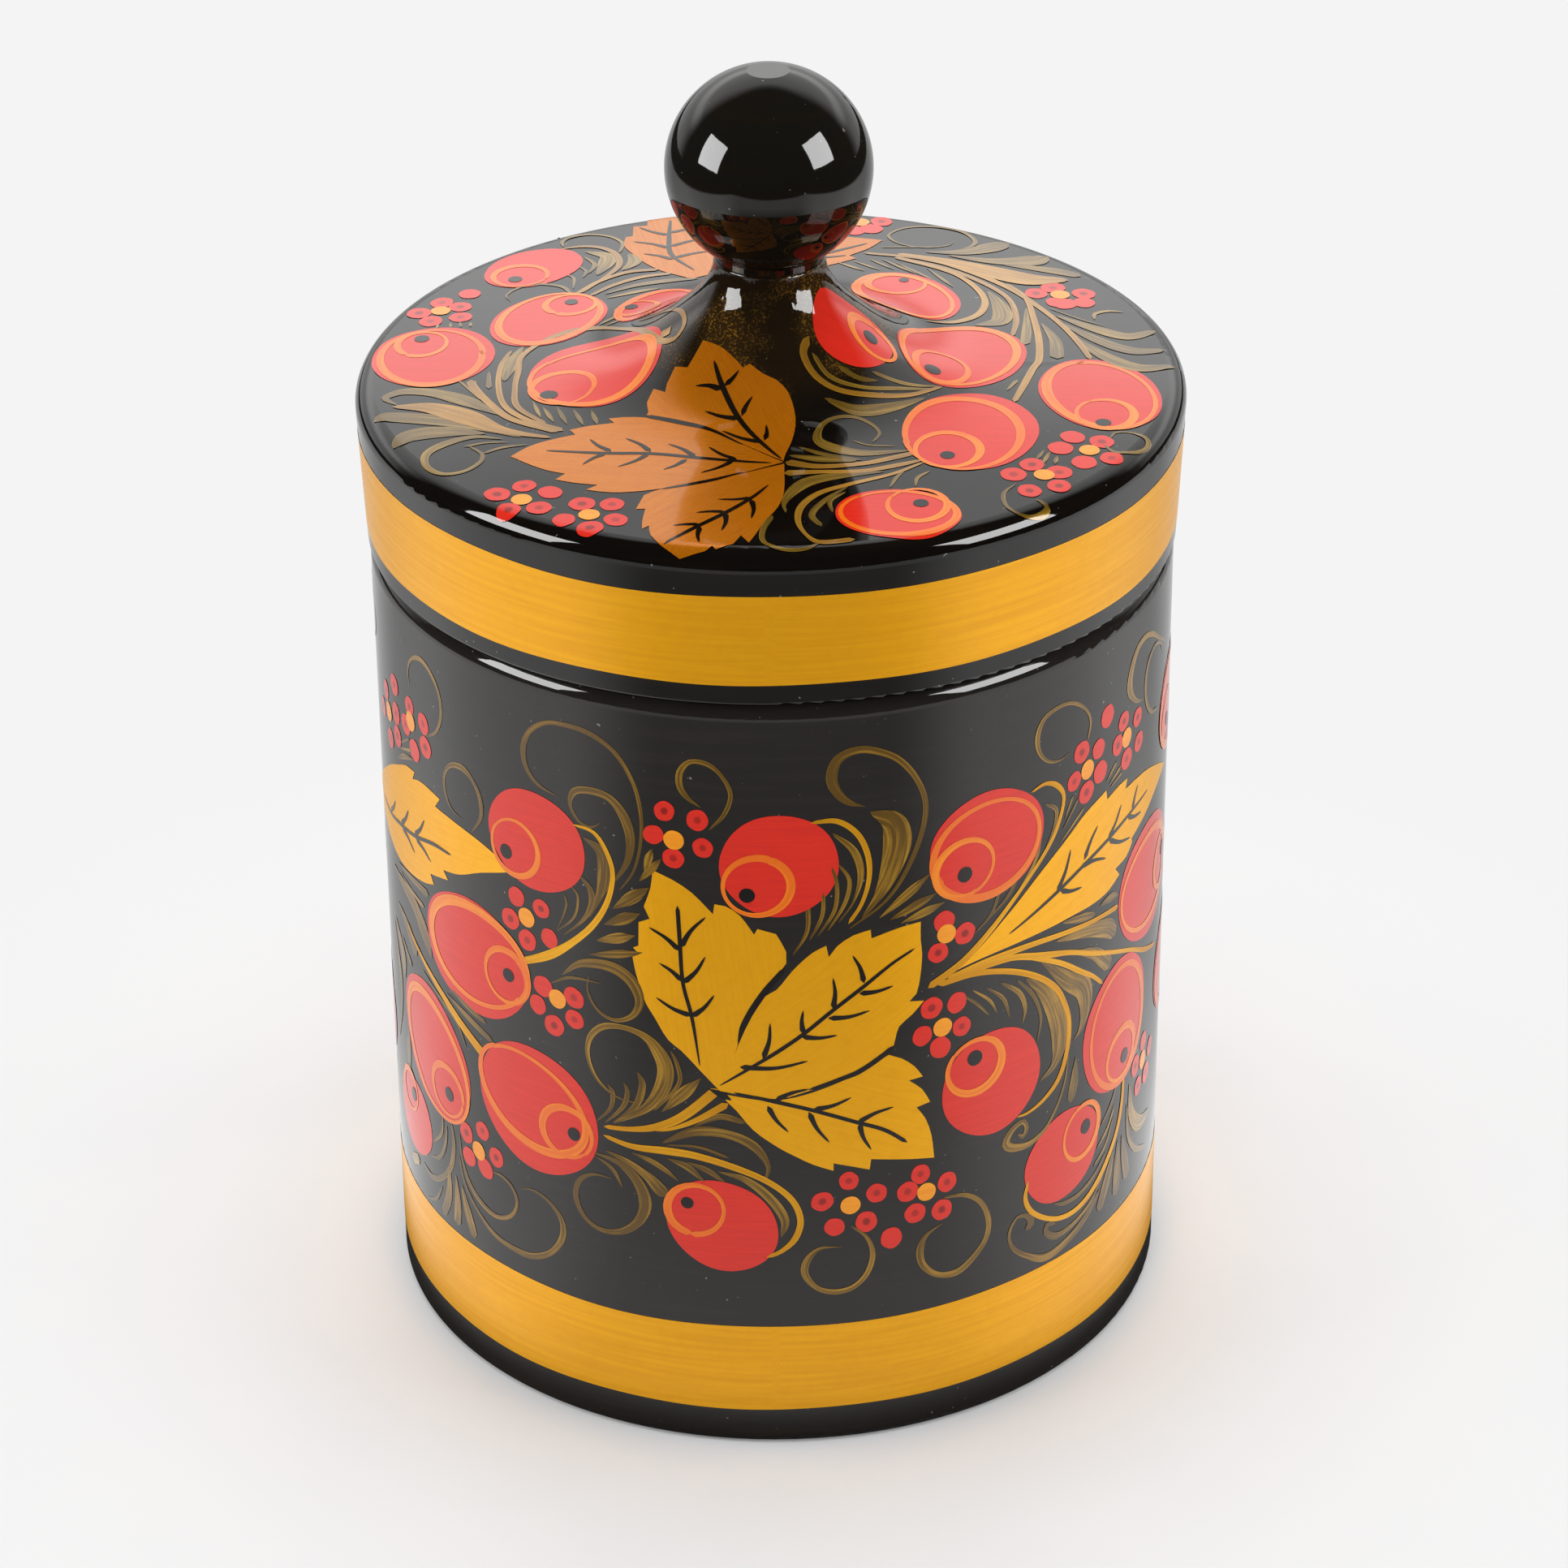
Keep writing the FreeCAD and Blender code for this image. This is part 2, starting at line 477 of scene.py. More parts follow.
# Each berry: (u, v, half length, half height, tilt), its outer ring or None, its eye ring
# (both with a width last), and its dark dot (u, v, radius).
JAR_BERRIES = [
    ((-30.8, 82.6, 7.2, 6.85, 0), None, (-33.9, 80.65, 3.7, 3.85, 0, 0.6), (-35.3, 79.65, 0.95)),
    ((0.45, 84.1, 7.2, 6.85, 0), None, (-2.2, 81.3, 4.1, 3.95, 0, 0.8), (-3.4, 80.1, 0.95)),
    ((27, 82.8, 8.15, 7.3, 0), (26.8, 82.2, 7.7, 6.45, 0, 0.85), (23.5, 80.4, 4, 3.85, 0, 0.7),
     (23.5, 79.6, 1)),
    ((-42.4, 62, 10, 8.15, 0), (-41.9, 62.4, 9.4, 6.8, 0, 1.0), (-36.1, 61.7, 3.6, 3.75, 0, 0.8),
     (-35.7, 62, 0.9)),
    ((-52.7, 43.3, 10, 8, -50), (-52.4, 42.6, 9.2, 7, -50, 0.9), (-49.2, 38.9, 3.75, 3.6, 0, 0.7),
     (-48.7, 38.6, 0.95)),
    ((-32.2, 43.9, 9.6, 8.8, -20), (-33, 44.9, 8.8, 6.3, -25, 0.9), (-27.4, 42.2, 3.7, 3.6, 0, 0.8),
     (-26.3, 42.3, 0.9)),
    ((-7, 32.7, 7.3, 6.3, -30), None, (-10.3, 34.8, 3.6, 3.65, 0, 0.8), (-11.3, 35.7, 0.8)),
    ((28, 48.8, 7.4, 7.4, 0), None, (25.3, 52, 3.9, 3.8, 0, 0.9), (25.2, 53.2, 1.05)),
    ((40.2, 33, 7.1, 6.45, 0), None, (43.6, 34.9, 3.65, 3.9, 0, 0.7), (44.3, 35.2, 1)),
    ((51.7, 46.7, 9.3, 8.4, 80), (52.2, 46.1, 8.6, 7.2, 90, 0.9), (52.8, 41.7, 3.9, 3.6, 0, 0.8),
     (53.7, 40.8, 1)),
    ((60.7, 63.4, 10, 8.3, -10), (60.5, 63.3, 9, 6.4, -8, 0.9), (67, 62.5, 3.7, 3.7, 0, 0.7),
     (68.5, 63.2, 1)),
    ((-60.3, 29.4, 6.1, 5.7, 0), None, (-61.5, 32.3, 2.9, 2.9, 0, 0.6), (-60, 32.3, 0.9)),
    ((72, 84, 8, 7, 0), (71.6, 83.4, 7.3, 6.2, 0, 0.8), (69.3, 82, 3.6, 3.7, 0, 0.7), (69.5, 81.3, 0.95)),
]

# Berries that stand only once, where the front and the back of the painting meet.
SIDE_BERRIES = [
    ((75.5, 45, 10, 8, 0), (75.5, 45, 9.2, 6.8, 0, 0.9), (79.5, 45, 3.7, 3.6, 0, 0.7), (80.5, 45, 0.95)),
    ((-78, 38, 8.4, 7.5, 0), None, (-80.2, 39, 3.6, 3.6, 0, 0.7), (-81, 39.6, 0.95)),
]

# Each flower: its yellow heart, then the middles of its petals.
JAR_FLOWERS = [
    ((-12.1, 87), (-13.2, 90.8), (-9.2, 90), (-14.6, 87.4), (-12.2, 84.5), (-8.6, 86.3)),
    ((-32.4, 71.4), (-33.9, 73.8), (-30.1, 73.4), (-29, 69.6), (-32.4, 68.2), (-35, 70.3)),
    ((-28.1, 61.3), (-30.2, 62.4), (-25.7, 62.2), (-31.1, 59.5), (-25.7, 59.1), (-28.7, 57.3)),
    ((-42.6, 33.2), (-41.7, 36.6), (-45.1, 34.7), (-39.2, 33.8), (-44.7, 31.3), (-41.4, 31.2)),
    ((8.9, 35.4), (8.7, 39), (5.4, 36.3), (12.2, 36.7), (6.9, 32.4), (10.9, 32.7)),
    ((18.7, 35.5), (17.9, 38.3), (16.2, 36.1), (21.5, 36.2), (17.2, 32.7), (20.8, 32.3), (14.1, 29.7)),
    ((20.7, 58.9), (19.2, 62), (22.6, 61.9), (18, 58.3), (23.3, 58.3), (20.4, 56.1)),
    ((21.1, 72), (20.8, 73.8), (23.6, 71.4), (20, 69.6)),
    ((42.9, 87.2), (41.7, 90.1), (45.1, 89.1), (40.4, 86.6), (45.6, 85.7), (42.8, 84.1), (46.9, 92.8)),
    ((51.8, 87.6), (50.9, 90.3), (54.8, 89), (49.5, 87.6), (55.4, 85.3), (51.9, 84.6)),
    ((60.5, 36.2), (60.7, 38.9), (57.7, 36.9), (64, 36.2), (58.9, 33.2), (62.3, 33.2)),
    ((-54.7, 89.4), (-54.9, 91.4), (-51.1, 90.7), (-56.3, 88.2), (-50.8, 87.6), (-53.9, 85.7)),
    ((-63, 86.7), (-60, 91.9), (-64.1, 89.2), (-59.8, 88), (-66.3, 85.7), (-59.6, 84.9), (-62.8, 83)),
]

# Each leaf: its outline, its main vein (u, v, width), and its side veins as (from, to the main vein).
JAR_LEAVES = [
    ([(-14.8, 82.5), (-12.3, 81.5), (-10, 80), (-7.5, 77.3), (-7.3, 78.7), (-6, 78.5), (-4.3, 77.3),
      (-2.6, 74.7), (-2.2, 75.5), (0, 74.8), (1.2, 72.3), (1.2, 70.7), (0.3, 69.3), (-1.7, 66.7),
      (-4, 62.3), (-4.7, 59.3), (-6.8, 52.2), (-9, 54.7), (-11.7, 57.7), (-13.3, 59), (-15, 62),
      (-16, 63.7), (-17.2, 67.7), (-17.6, 70), (-16.7, 70.5), (-17.5, 71.3), (-16.8, 71.7), (-16.7, 75),
      (-15.3, 75.7), (-16, 77.3), (-15.1, 80)],
     [(-11.8, 78, 0.5), (-11.6, 73.3, 0.5), (-11.3, 67.3, 0.45), (-10.3, 62.7, 0.45), (-9.4, 55.8, 0.15)],
     [((-8.4, 76.8), (-11.5, 72.3)), ((-15.4, 74.5), (-11.6, 71.8)), ((-8.5, 71.3), (-11.3, 67.3)),
      ((-14.2, 69.7), (-11.3, 67.5)), ((-7.5, 66), (-10.3, 62.7)), ((-14.7, 64.8), (-10.3, 62.8))]),
    ([(17.7, 74.5), (15, 74.2), (11.5, 73.3), (11.4, 74.5), (9.3, 74), (7.3, 72.7), (6.3, 71.3), (6, 72.9),
      (4.3, 72), (2, 69.7), (0, 67), (-1.5, 66), (-3.3, 62.5), (-4.6, 59.3), (-6.9, 52.4), (0, 51.5),
      (3.7, 52.5), (7.7, 53.7), (11.7, 55.7), (14.3, 57.7), (14.5, 58.5), (15, 60.3), (16.7, 61.7),
      (18.2, 63.3), (16.3, 63.6), (17.2, 64.5), (17.7, 67), (17.9, 70), (17.7, 72)],
     [(16.9, 70.9, 0.3), (14, 69.3, 0.4), (10.3, 66.5, 0.5), (6.7, 63.7, 0.5), (3, 60.5, 0.5),
      (0, 58.2, 0.5), (-1.7, 57, 0.45), (-4.5, 55, 0.35), (-7, 53.2, 0.15)],
     [((9.2, 71.2), (10.6, 67.2)), ((6.8, 68.3), (6.8, 64)), ((3.2, 64), (3.2, 60.7)),
      ((-0.8, 62.3), (-1.7, 57.3)), ((14.2, 66.2), (10, 65.8)), ((11.3, 63.2), (6.2, 62.7)),
      ((7.3, 60.2), (3, 60.3)), ((3.7, 56.8), (-4.5, 56))]),
    ([(-6.7, 52), (0, 51.3), (7.7, 53.5), (13.7, 56.5), (15.3, 55.7), (17, 54.2), (18.1, 52.5),
      (16.3, 52.3), (18, 50.7), (19.1, 48.6), (17.3, 48.2), (18.5, 46.3), (19.3, 43.7), (19.7, 40.3),
      (16.7, 40.8), (11.5, 41.8), (11.3, 40.3), (9.3, 41), (6.8, 41.8), (6.8, 40.7), (4.3, 41.8), (2, 43.2),
      (0, 44.5), (-3, 47), (-5, 49.7), (-6.2, 51)],
     [(-5.3, 52.3, 0.2), (-1, 51.3, 0.5), (4.3, 49.7, 0.5), (10, 47.3, 0.5), (13.3, 45.7, 0.5),
      (16.1, 43.4, 0.5)],
     [((9, 51.1), (4.3, 49.8)), ((6.3, 44.9), (3.8, 49.5)), ((14.3, 48.9), (9.7, 47.3)),
      ((11.5, 43.2), (10, 47.2)), ((1.3, 46.7), (-1.2, 50.5)), ((3.8, 52.8), (-0.3, 51.3))]),
    ([(-35, 76.8), (-37, 78.3), (-40.3, 79.3), (-44.7, 79.9), (-49, 80.2), (-47.8, 81.7), (-50.3, 82),
      (-53, 81.9), (-54.9, 81.2), (-54.2, 82.5), (-56.7, 82.2), (-60, 80.7), (-63.3, 79), (-68, 76),
      (-71.3, 73.7), (-74.5, 71.3), (-68, 68), (-64.7, 67), (-60.3, 66.5), (-55.3, 67), (-52.3, 67.7),
      (-50.2, 68.5), (-51, 69.7), (-49, 70.2), (-46.7, 70.8), (-47.7, 71.8), (-44.3, 72.7), (-40, 74.8),
      (-37, 76)],
     [(-45.8, 74.8, 0.3), (-49.7, 74.5, 0.5), (-55, 73.1, 0.5), (-60, 72.2, 0.5), (-64.7, 71.3, 0.4),
      (-70, 71.2, 0.2)],
     [((-52, 76.8), (-55, 73.3)), ((-56.8, 75.8), (-59.7, 72.5)), ((-62, 74.5), (-64.7, 71.7)),
      ((-50.7, 71.5), (-54.7, 72.9)), ((-55.3, 70.5), (-59.5, 72.2))]),
    ([(18.5, 64.9), (23.3, 67), (30, 72.3), (35, 76.3), (40, 79.6), (42.7, 81.2), (47, 82.5), (47.3, 81.1),
      (50, 81.7), (52.3, 81.7), (51.8, 80.4), (55, 80.3), (58.3, 79.8), (61.7, 78.7), (65, 77.3),
      (68.3, 75.7), (62.7, 74.8), (58.3, 73.5), (54, 72.3), (54.2, 71.7), (52.7, 70.5), (49.7, 70.1),
      (50.8, 68.8), (48.3, 67.8), (45, 67.5), (40, 67.7), (30, 67.5), (23.3, 66.7)],
     [(30, 69.3, 0.2), (37.5, 72.2, 0.5), (42.7, 74, 0.5), (48, 75.3, 0.5), (53, 76.2, 0.4),
      (59, 76.7, 0.2)],
     [((40, 77.3), (37.7, 72.3)), ((42.3, 71), (38.3, 72.2)), ((45.3, 78.3), (42.7, 74.7)),
      ((47.3, 72.8), (42, 74)), ((50.8, 78.7), (47.8, 75.3)), ((53.5, 72.7), (48, 75)),
      ((55.5, 79.2), (54, 76.3)), ((56.8, 74.7), (52.7, 76))]),
]

# Dark strokes that part the leaves, (u, v, width).
JAR_GAPS = [
    [(-4.7, 59.3, 0.2), (-4, 62, 0.7), (-1.7, 66.3, 0.8), (1, 70, 0.6)],
    [(3.8, 52.7, 0.3), (7.7, 53.9, 0.6), (10, 54.7, 0.7), (13.3, 56.8, 0.7), (14.3, 57.7, 0.6)],
    [(-8.3, 52.6, 0.2), (-6.8, 51.9, 0.9), (-5.6, 51.2, 0.3)],
]

# Bright gold stems, (u, v, width).
JAR_STEMS = [
    [(-7.2, 52.7, 1.3), (-11.7, 48.2, 1.2), (-15, 46.2, 1), (-18.3, 45.2, 0.7), (-22, 44.7, 0.6)],
    [(-6, 50.7, 1), (-10.3, 47.7, 0.7), (-13.7, 46, 0.4), (-15.7, 45.6, 0.2)],
    [(-22.1, 43.4, 0.5), (-18.3, 42.7, 0.8), (-13.7, 42.9, 1.1), (-10, 42.7, 1), (-5, 41.3, 0.9),
     (-1, 39.3, 0.8), (1.7, 36.7, 0.8), (2.7, 33.7, 0.8), (2, 31, 0.8), (0.3, 29.2, 0.6),
     (-1.5, 28.3, 0.5)],
    [(-25, 86.6, 0.3), (-22.3, 86.2, 0.5), (-20.7, 84, 0.6), (-19.9, 81, 0.6), (-20.7, 77, 0.7),
     (-22.7, 73.3, 0.8), (-25.7, 70, 0.9), (-29, 67.3, 1.2), (-33.3, 64.9, 0.9)],
    [(4.2, 89.9, 0.4), (7.3, 89.9, 0.7), (9.7, 88, 0.7), (11, 85, 0.7), (11.2, 81.7, 0.6),
     (10.3, 78.3, 0.5), (8.7, 75.7, 0.5)],
    [(33, 87.9, 0.3), (35.3, 88.3, 0.5), (37.3, 87.3, 0.7), (38.5, 85.3, 0.6), (37.7, 82, 0.6),
     (36, 79.3, 0.6), (31.7, 75, 0.6), (24, 68, 0.9), (18.7, 65, 1)],
    [(21.3, 65.7, 0.6), (26.7, 66.5, 0.9), (33.3, 66.5, 0.8), (40, 65.7, 0.7), (45, 65, 0.6),
     (50.7, 64.3, 0.8)],
    [(21.3, 65.5, 0.5), (30, 65.8, 0.8), (35, 64.3, 1), (40, 62.7, 0.7), (45, 60.3, 0.7), (50, 58, 0.6),
     (55, 55.7, 0.6), (60, 53, 0.7), (65, 51, 0.5)],
    [(33.3, 64.7, 0.5), (38.3, 62, 0.7), (42.7, 58.7, 0.7), (45, 57, 0.6), (47.3, 54.8, 0.5)],
    [(20, 65.1, 0.8), (25, 65.3, 0.8), (30, 64, 0.8), (34.3, 61.7, 0.8), (37.7, 58.7, 0.8), (39.3, 56, 0.8),
     (40.4, 52.7, 0.8), (40.2, 48.7, 0.8), (38.7, 45, 0.8), (36, 43, 0.6), (33.3, 42.2, 0.4),
     (31.7, 42.3, 0.3)],
    [(-59.3, 58.3, 0.5), (-54.7, 55.8, 0.7), (-49.7, 53.3, 1), (-44.7, 50.5, 1.3), (-40.7, 48.3, 1.5)],
    [(53.7, 37.5, 0.7), (53.2, 33.3, 0.8), (51.7, 29.7, 0.9), (48.3, 26, 1), (45, 24, 0.9),
     (41.7, 23.4, 0.8), (38.3, 24.2, 0.7), (34.7, 26.7, 0.7), (33.3, 29.3, 0.7), (33.7, 32, 0.3)],
]

# Thin brown-gold curls, (u, v, width).
JAR_CURLS = [
    [(-19, 79, 0.2), (-17.3, 81.7, 0.3), (-16.3, 85.3, 0.4), (-16.1, 89.7, 0.5), (-17, 94, 0.5),
     (-19.3, 97.7, 0.6), (-22.3, 99.5, 0.7), (-25.3, 99.9, 0.7), (-28.3, 99.5, 0.6), (-30.7, 97.8, 0.7),
     (-31.9, 95.3, 0.8), (-31.7, 92.7, 0.7), (-30, 90.7, 0.5), (-26.7, 89.8, 0)],
    [(-19.7, 80, 0.3), (-18, 83, 0.8), (-17.5, 86.3, 1.2), (-18.3, 89.3, 1.3), (-20, 91.3, 1),
     (-22.3, 91.8, 1), (-24.7, 91.2, 0.9), (-25.4, 89.3, 0.5), (-24.3, 87.3, 0.4), (-22.7, 86.8, 0.4),
     (-21.3, 87.7, 0)],
    [(-27.3, 65, 0.1), (-24.7, 67.3, 1), (-20.7, 68, 1.5), (-18, 66.7, 1.6), (-16.8, 64, 1.2),
     (-17.7, 61.7, 0.8), (-20, 60.5, 0.5), (-22.3, 61.3, 0.4), (-23.7, 63.7, 0.3), (-23.5, 66, 0.1)],
    [(-20.7, 45.5, 0.2), (-16.3, 48.7, 1.2), (-14.3, 51.7, 2), (-13.7, 54.7, 2.1), (-14.7, 57.3, 1.7),
     (-16.3, 59, 1), (-19, 59.7, 0.7), (-21.7, 59.2, 0.9), (-23.5, 57.3, 0.8), (-24, 54.7, 0.6),
     (-23, 51.7, 0.5), (-20.7, 49.7, 0.3), (-18, 49.2, 0.2), (-16, 50, 0)],
    [(-23.5, 40.5, 0.2), (-20, 39.8, 0.9), (-17.7, 37.7, 1.5), (-16.7, 34.7, 1.7), (-17.7, 31.7, 1.2),
     (-20, 29.7, 0.9), (-22.7, 29.2, 0.7), (-25, 30.3, 0.6), (-26.3, 33, 0.8), (-25.7, 35.7, 0.7),
     (-23.7, 37.2, 0.4), (-21, 37.3, 0.1)],
    [(-46.7, 33.7, 0.2), (-46.3, 30, 0.5), (-44.7, 27, 0.7), (-42, 25.2, 0.8), (-39.3, 24.8, 0.7),
     (-36.7, 26.3, 0.6), (-35.7, 28.7, 0.5), (-36.7, 30.7, 0.5), (-38.7, 31.5, 0.4), (-40, 31.2, 0)],
    [(-47, 30.3, 0.3), (-46, 26.7, 0.5), (-43.3, 23.7, 0.6), (-40, 21.7, 0.8), (-36.3, 21.2, 0.9),
     (-33.3, 21.5, 0.9), (-30.3, 23.3, 0.8), (-28.5, 26.3, 0.9), (-28.7, 29, 0.7), (-30.7, 31, 0.5),
     (-33, 31.6, 0.3), (-35, 31, 0)],
    [(-50.3, 89.3, 0.2), (-48, 91, 0.4), (-46.7, 93.7, 0.5), (-47, 96.7, 0.5), (-48.7, 98.8, 0.6),
     (-51, 99.6, 0.7), (-53.3, 98.7, 0.5), (-54.7, 96.7, 0.4), (-54.5, 94, 0)],
    [(-41.3, 80, 0.2), (-39.5, 82.7, 0.6), (-39.5, 85.3, 0.7), (-40.7, 87.3, 0.6), (-42.7, 88.3, 0.9),
     (-45, 87.7, 0.6), (-46.5, 85.7, 0.5), (-46.5, 83.3, 0.5), (-45.2, 81.5, 0.3), (-43, 81, 0)],
    [(-7.8, 88.8, 0.2), (-6, 91, 0.5), (-5.2, 93.7, 0.5), (-6.3, 96.3, 0.5), (-8, 97.7, 0.6),
     (-10, 97.8, 0.6), (-11.2, 96.3, 0.8), (-11.2, 94.3, 0.8), (-10.2, 92.8, 0.6), (-8.8, 91.8, 0)],
    [(8.8, 75, 0.2), (13.3, 78.3, 0.4), (16, 82.3, 0.6), (17.8, 87, 0.7), (18.2, 90.7, 0.7),
     (17, 94.3, 0.7), (14.7, 97.3, 0.8), (12, 98.8, 0.9), (9.7, 99.2, 1), (7.5, 98.2, 1.2), (6.7, 96, 1.4),
     (7.2, 94, 1.2), (8.7, 92.3, 0.8), (10.7, 91.5, 0)],
    [(42.8, 91.3, 0.3), (43.3, 93.7, 0.4), (42.3, 95.7, 0.4), (40, 97.5, 0.5), (37.7, 98, 0.5),
     (35, 97.3, 0.6), (33.9, 95.3, 0.8), (34.2, 93, 0.6), (35.7, 91.2, 0.4), (37.7, 90.6, 0.3),
     (39.5, 91, 0)],
    [(9, 32.3, 0.3), (11, 30.3, 0.5), (11.7, 27.7, 0.7), (11, 25, 0.7), (9.3, 23.2, 0.7), (7, 22.7, 0.8),
     (4.7, 23.5, 0.7), (3.2, 25.7, 0.9), (3.5, 27.7, 0.9), (5, 29.3, 0.5), (7.8, 29.4, 0)],
    [(21, 34, 0.3), (24, 33.5, 0.6), (26.3, 31.7, 0.7), (27.5, 28.7, 0.8), (27.2, 26, 0.8),
     (25.3, 23.7, 0.9), (23, 22.3, 1), (20.3, 22.7, 0.8), (18.3, 24.7, 0.9), (17.9, 27, 1), (18.7, 29, 0.6),
     (20.8, 30.2, 0)],
    [(56.3, 90.7, 0.2), (54, 91.7, 0.7), (52.3, 94, 1.4), (52.7, 96.7, 1.2), (54.3, 98.7, 1),
     (56.7, 99.2, 0.8), (59.3, 98.3, 0.7), (62.3, 96.3, 0.5), (65.7, 94.3, 0.3)],
    [(62.7, 86.5, 0.3), (59.7, 87.3, 0.6), (57.7, 89.7, 0.7), (57.2, 92.7, 0.7), (58, 95, 0.7),
     (60.3, 96.2, 0.5), (63, 95.3, 0.4), (64.7, 93, 0)],
    [(40.5, 47.7, 0.3), (39.7, 43.3, 0.4), (37, 39, 0.5), (34, 37.5, 0.8), (31, 38, 1.2), (30, 39, 1.2),
     (31, 40.7, 0.9), (32.7, 41.2, 0.7), (33.3, 40, 0.7), (32.7, 39, 0.6), (31.8, 39.7, 0.4)],
    [(48.7, 25.7, 0.3), (46, 23, 0.6), (42.3, 21.5, 0.7), (39, 21.3, 1), (37, 22.7, 0.9), (37.2, 23.8, 0.8),
     (38.7, 23.3, 0.4)],
    [(48, 23.7, 0.5), (45, 21.3, 1.2), (41, 19.5, 1.2), (37, 19, 1.2), (33.7, 20.7, 0.8), (31.3, 23, 0.6),
     (30.8, 25.3, 0.5), (32, 27.2, 0.4), (33.7, 26.7, 0.8), (34.3, 25.3, 1.2), (33.3, 24.7, 0.8)],
    [(55, 32.7, 0.4), (55.7, 27.7, 0.8), (58.3, 24, 0.9), (63.3, 21.3, 0.7)],
    [(55.7, 35.3, 0.4), (56.7, 30.3, 1.8), (59.7, 27, 2.2), (65, 26, 0.5)],
]

# Curls where the front and the back of the painting meet, drawn once for each.
SIDE_CURLS = [
    [(76, 95, 0.3), (79, 99, 0.8), (84, 99.5, 1.0), (86.5, 95, 0.8), (83, 92, 0.5), (81, 94, 0.3)],
    [(73.5, 56, 0.3), (76, 62, 0.9), (79.5, 64, 1.0), (81.5, 61, 0.7), (79.5, 58.8, 0.4)],
    [(83, 18, 0.3), (78, 21, 0.8), (77, 26, 1.0), (80.5, 28.5, 0.9), (83, 26, 0.5), (81.5, 24.5, 0.3)],
]

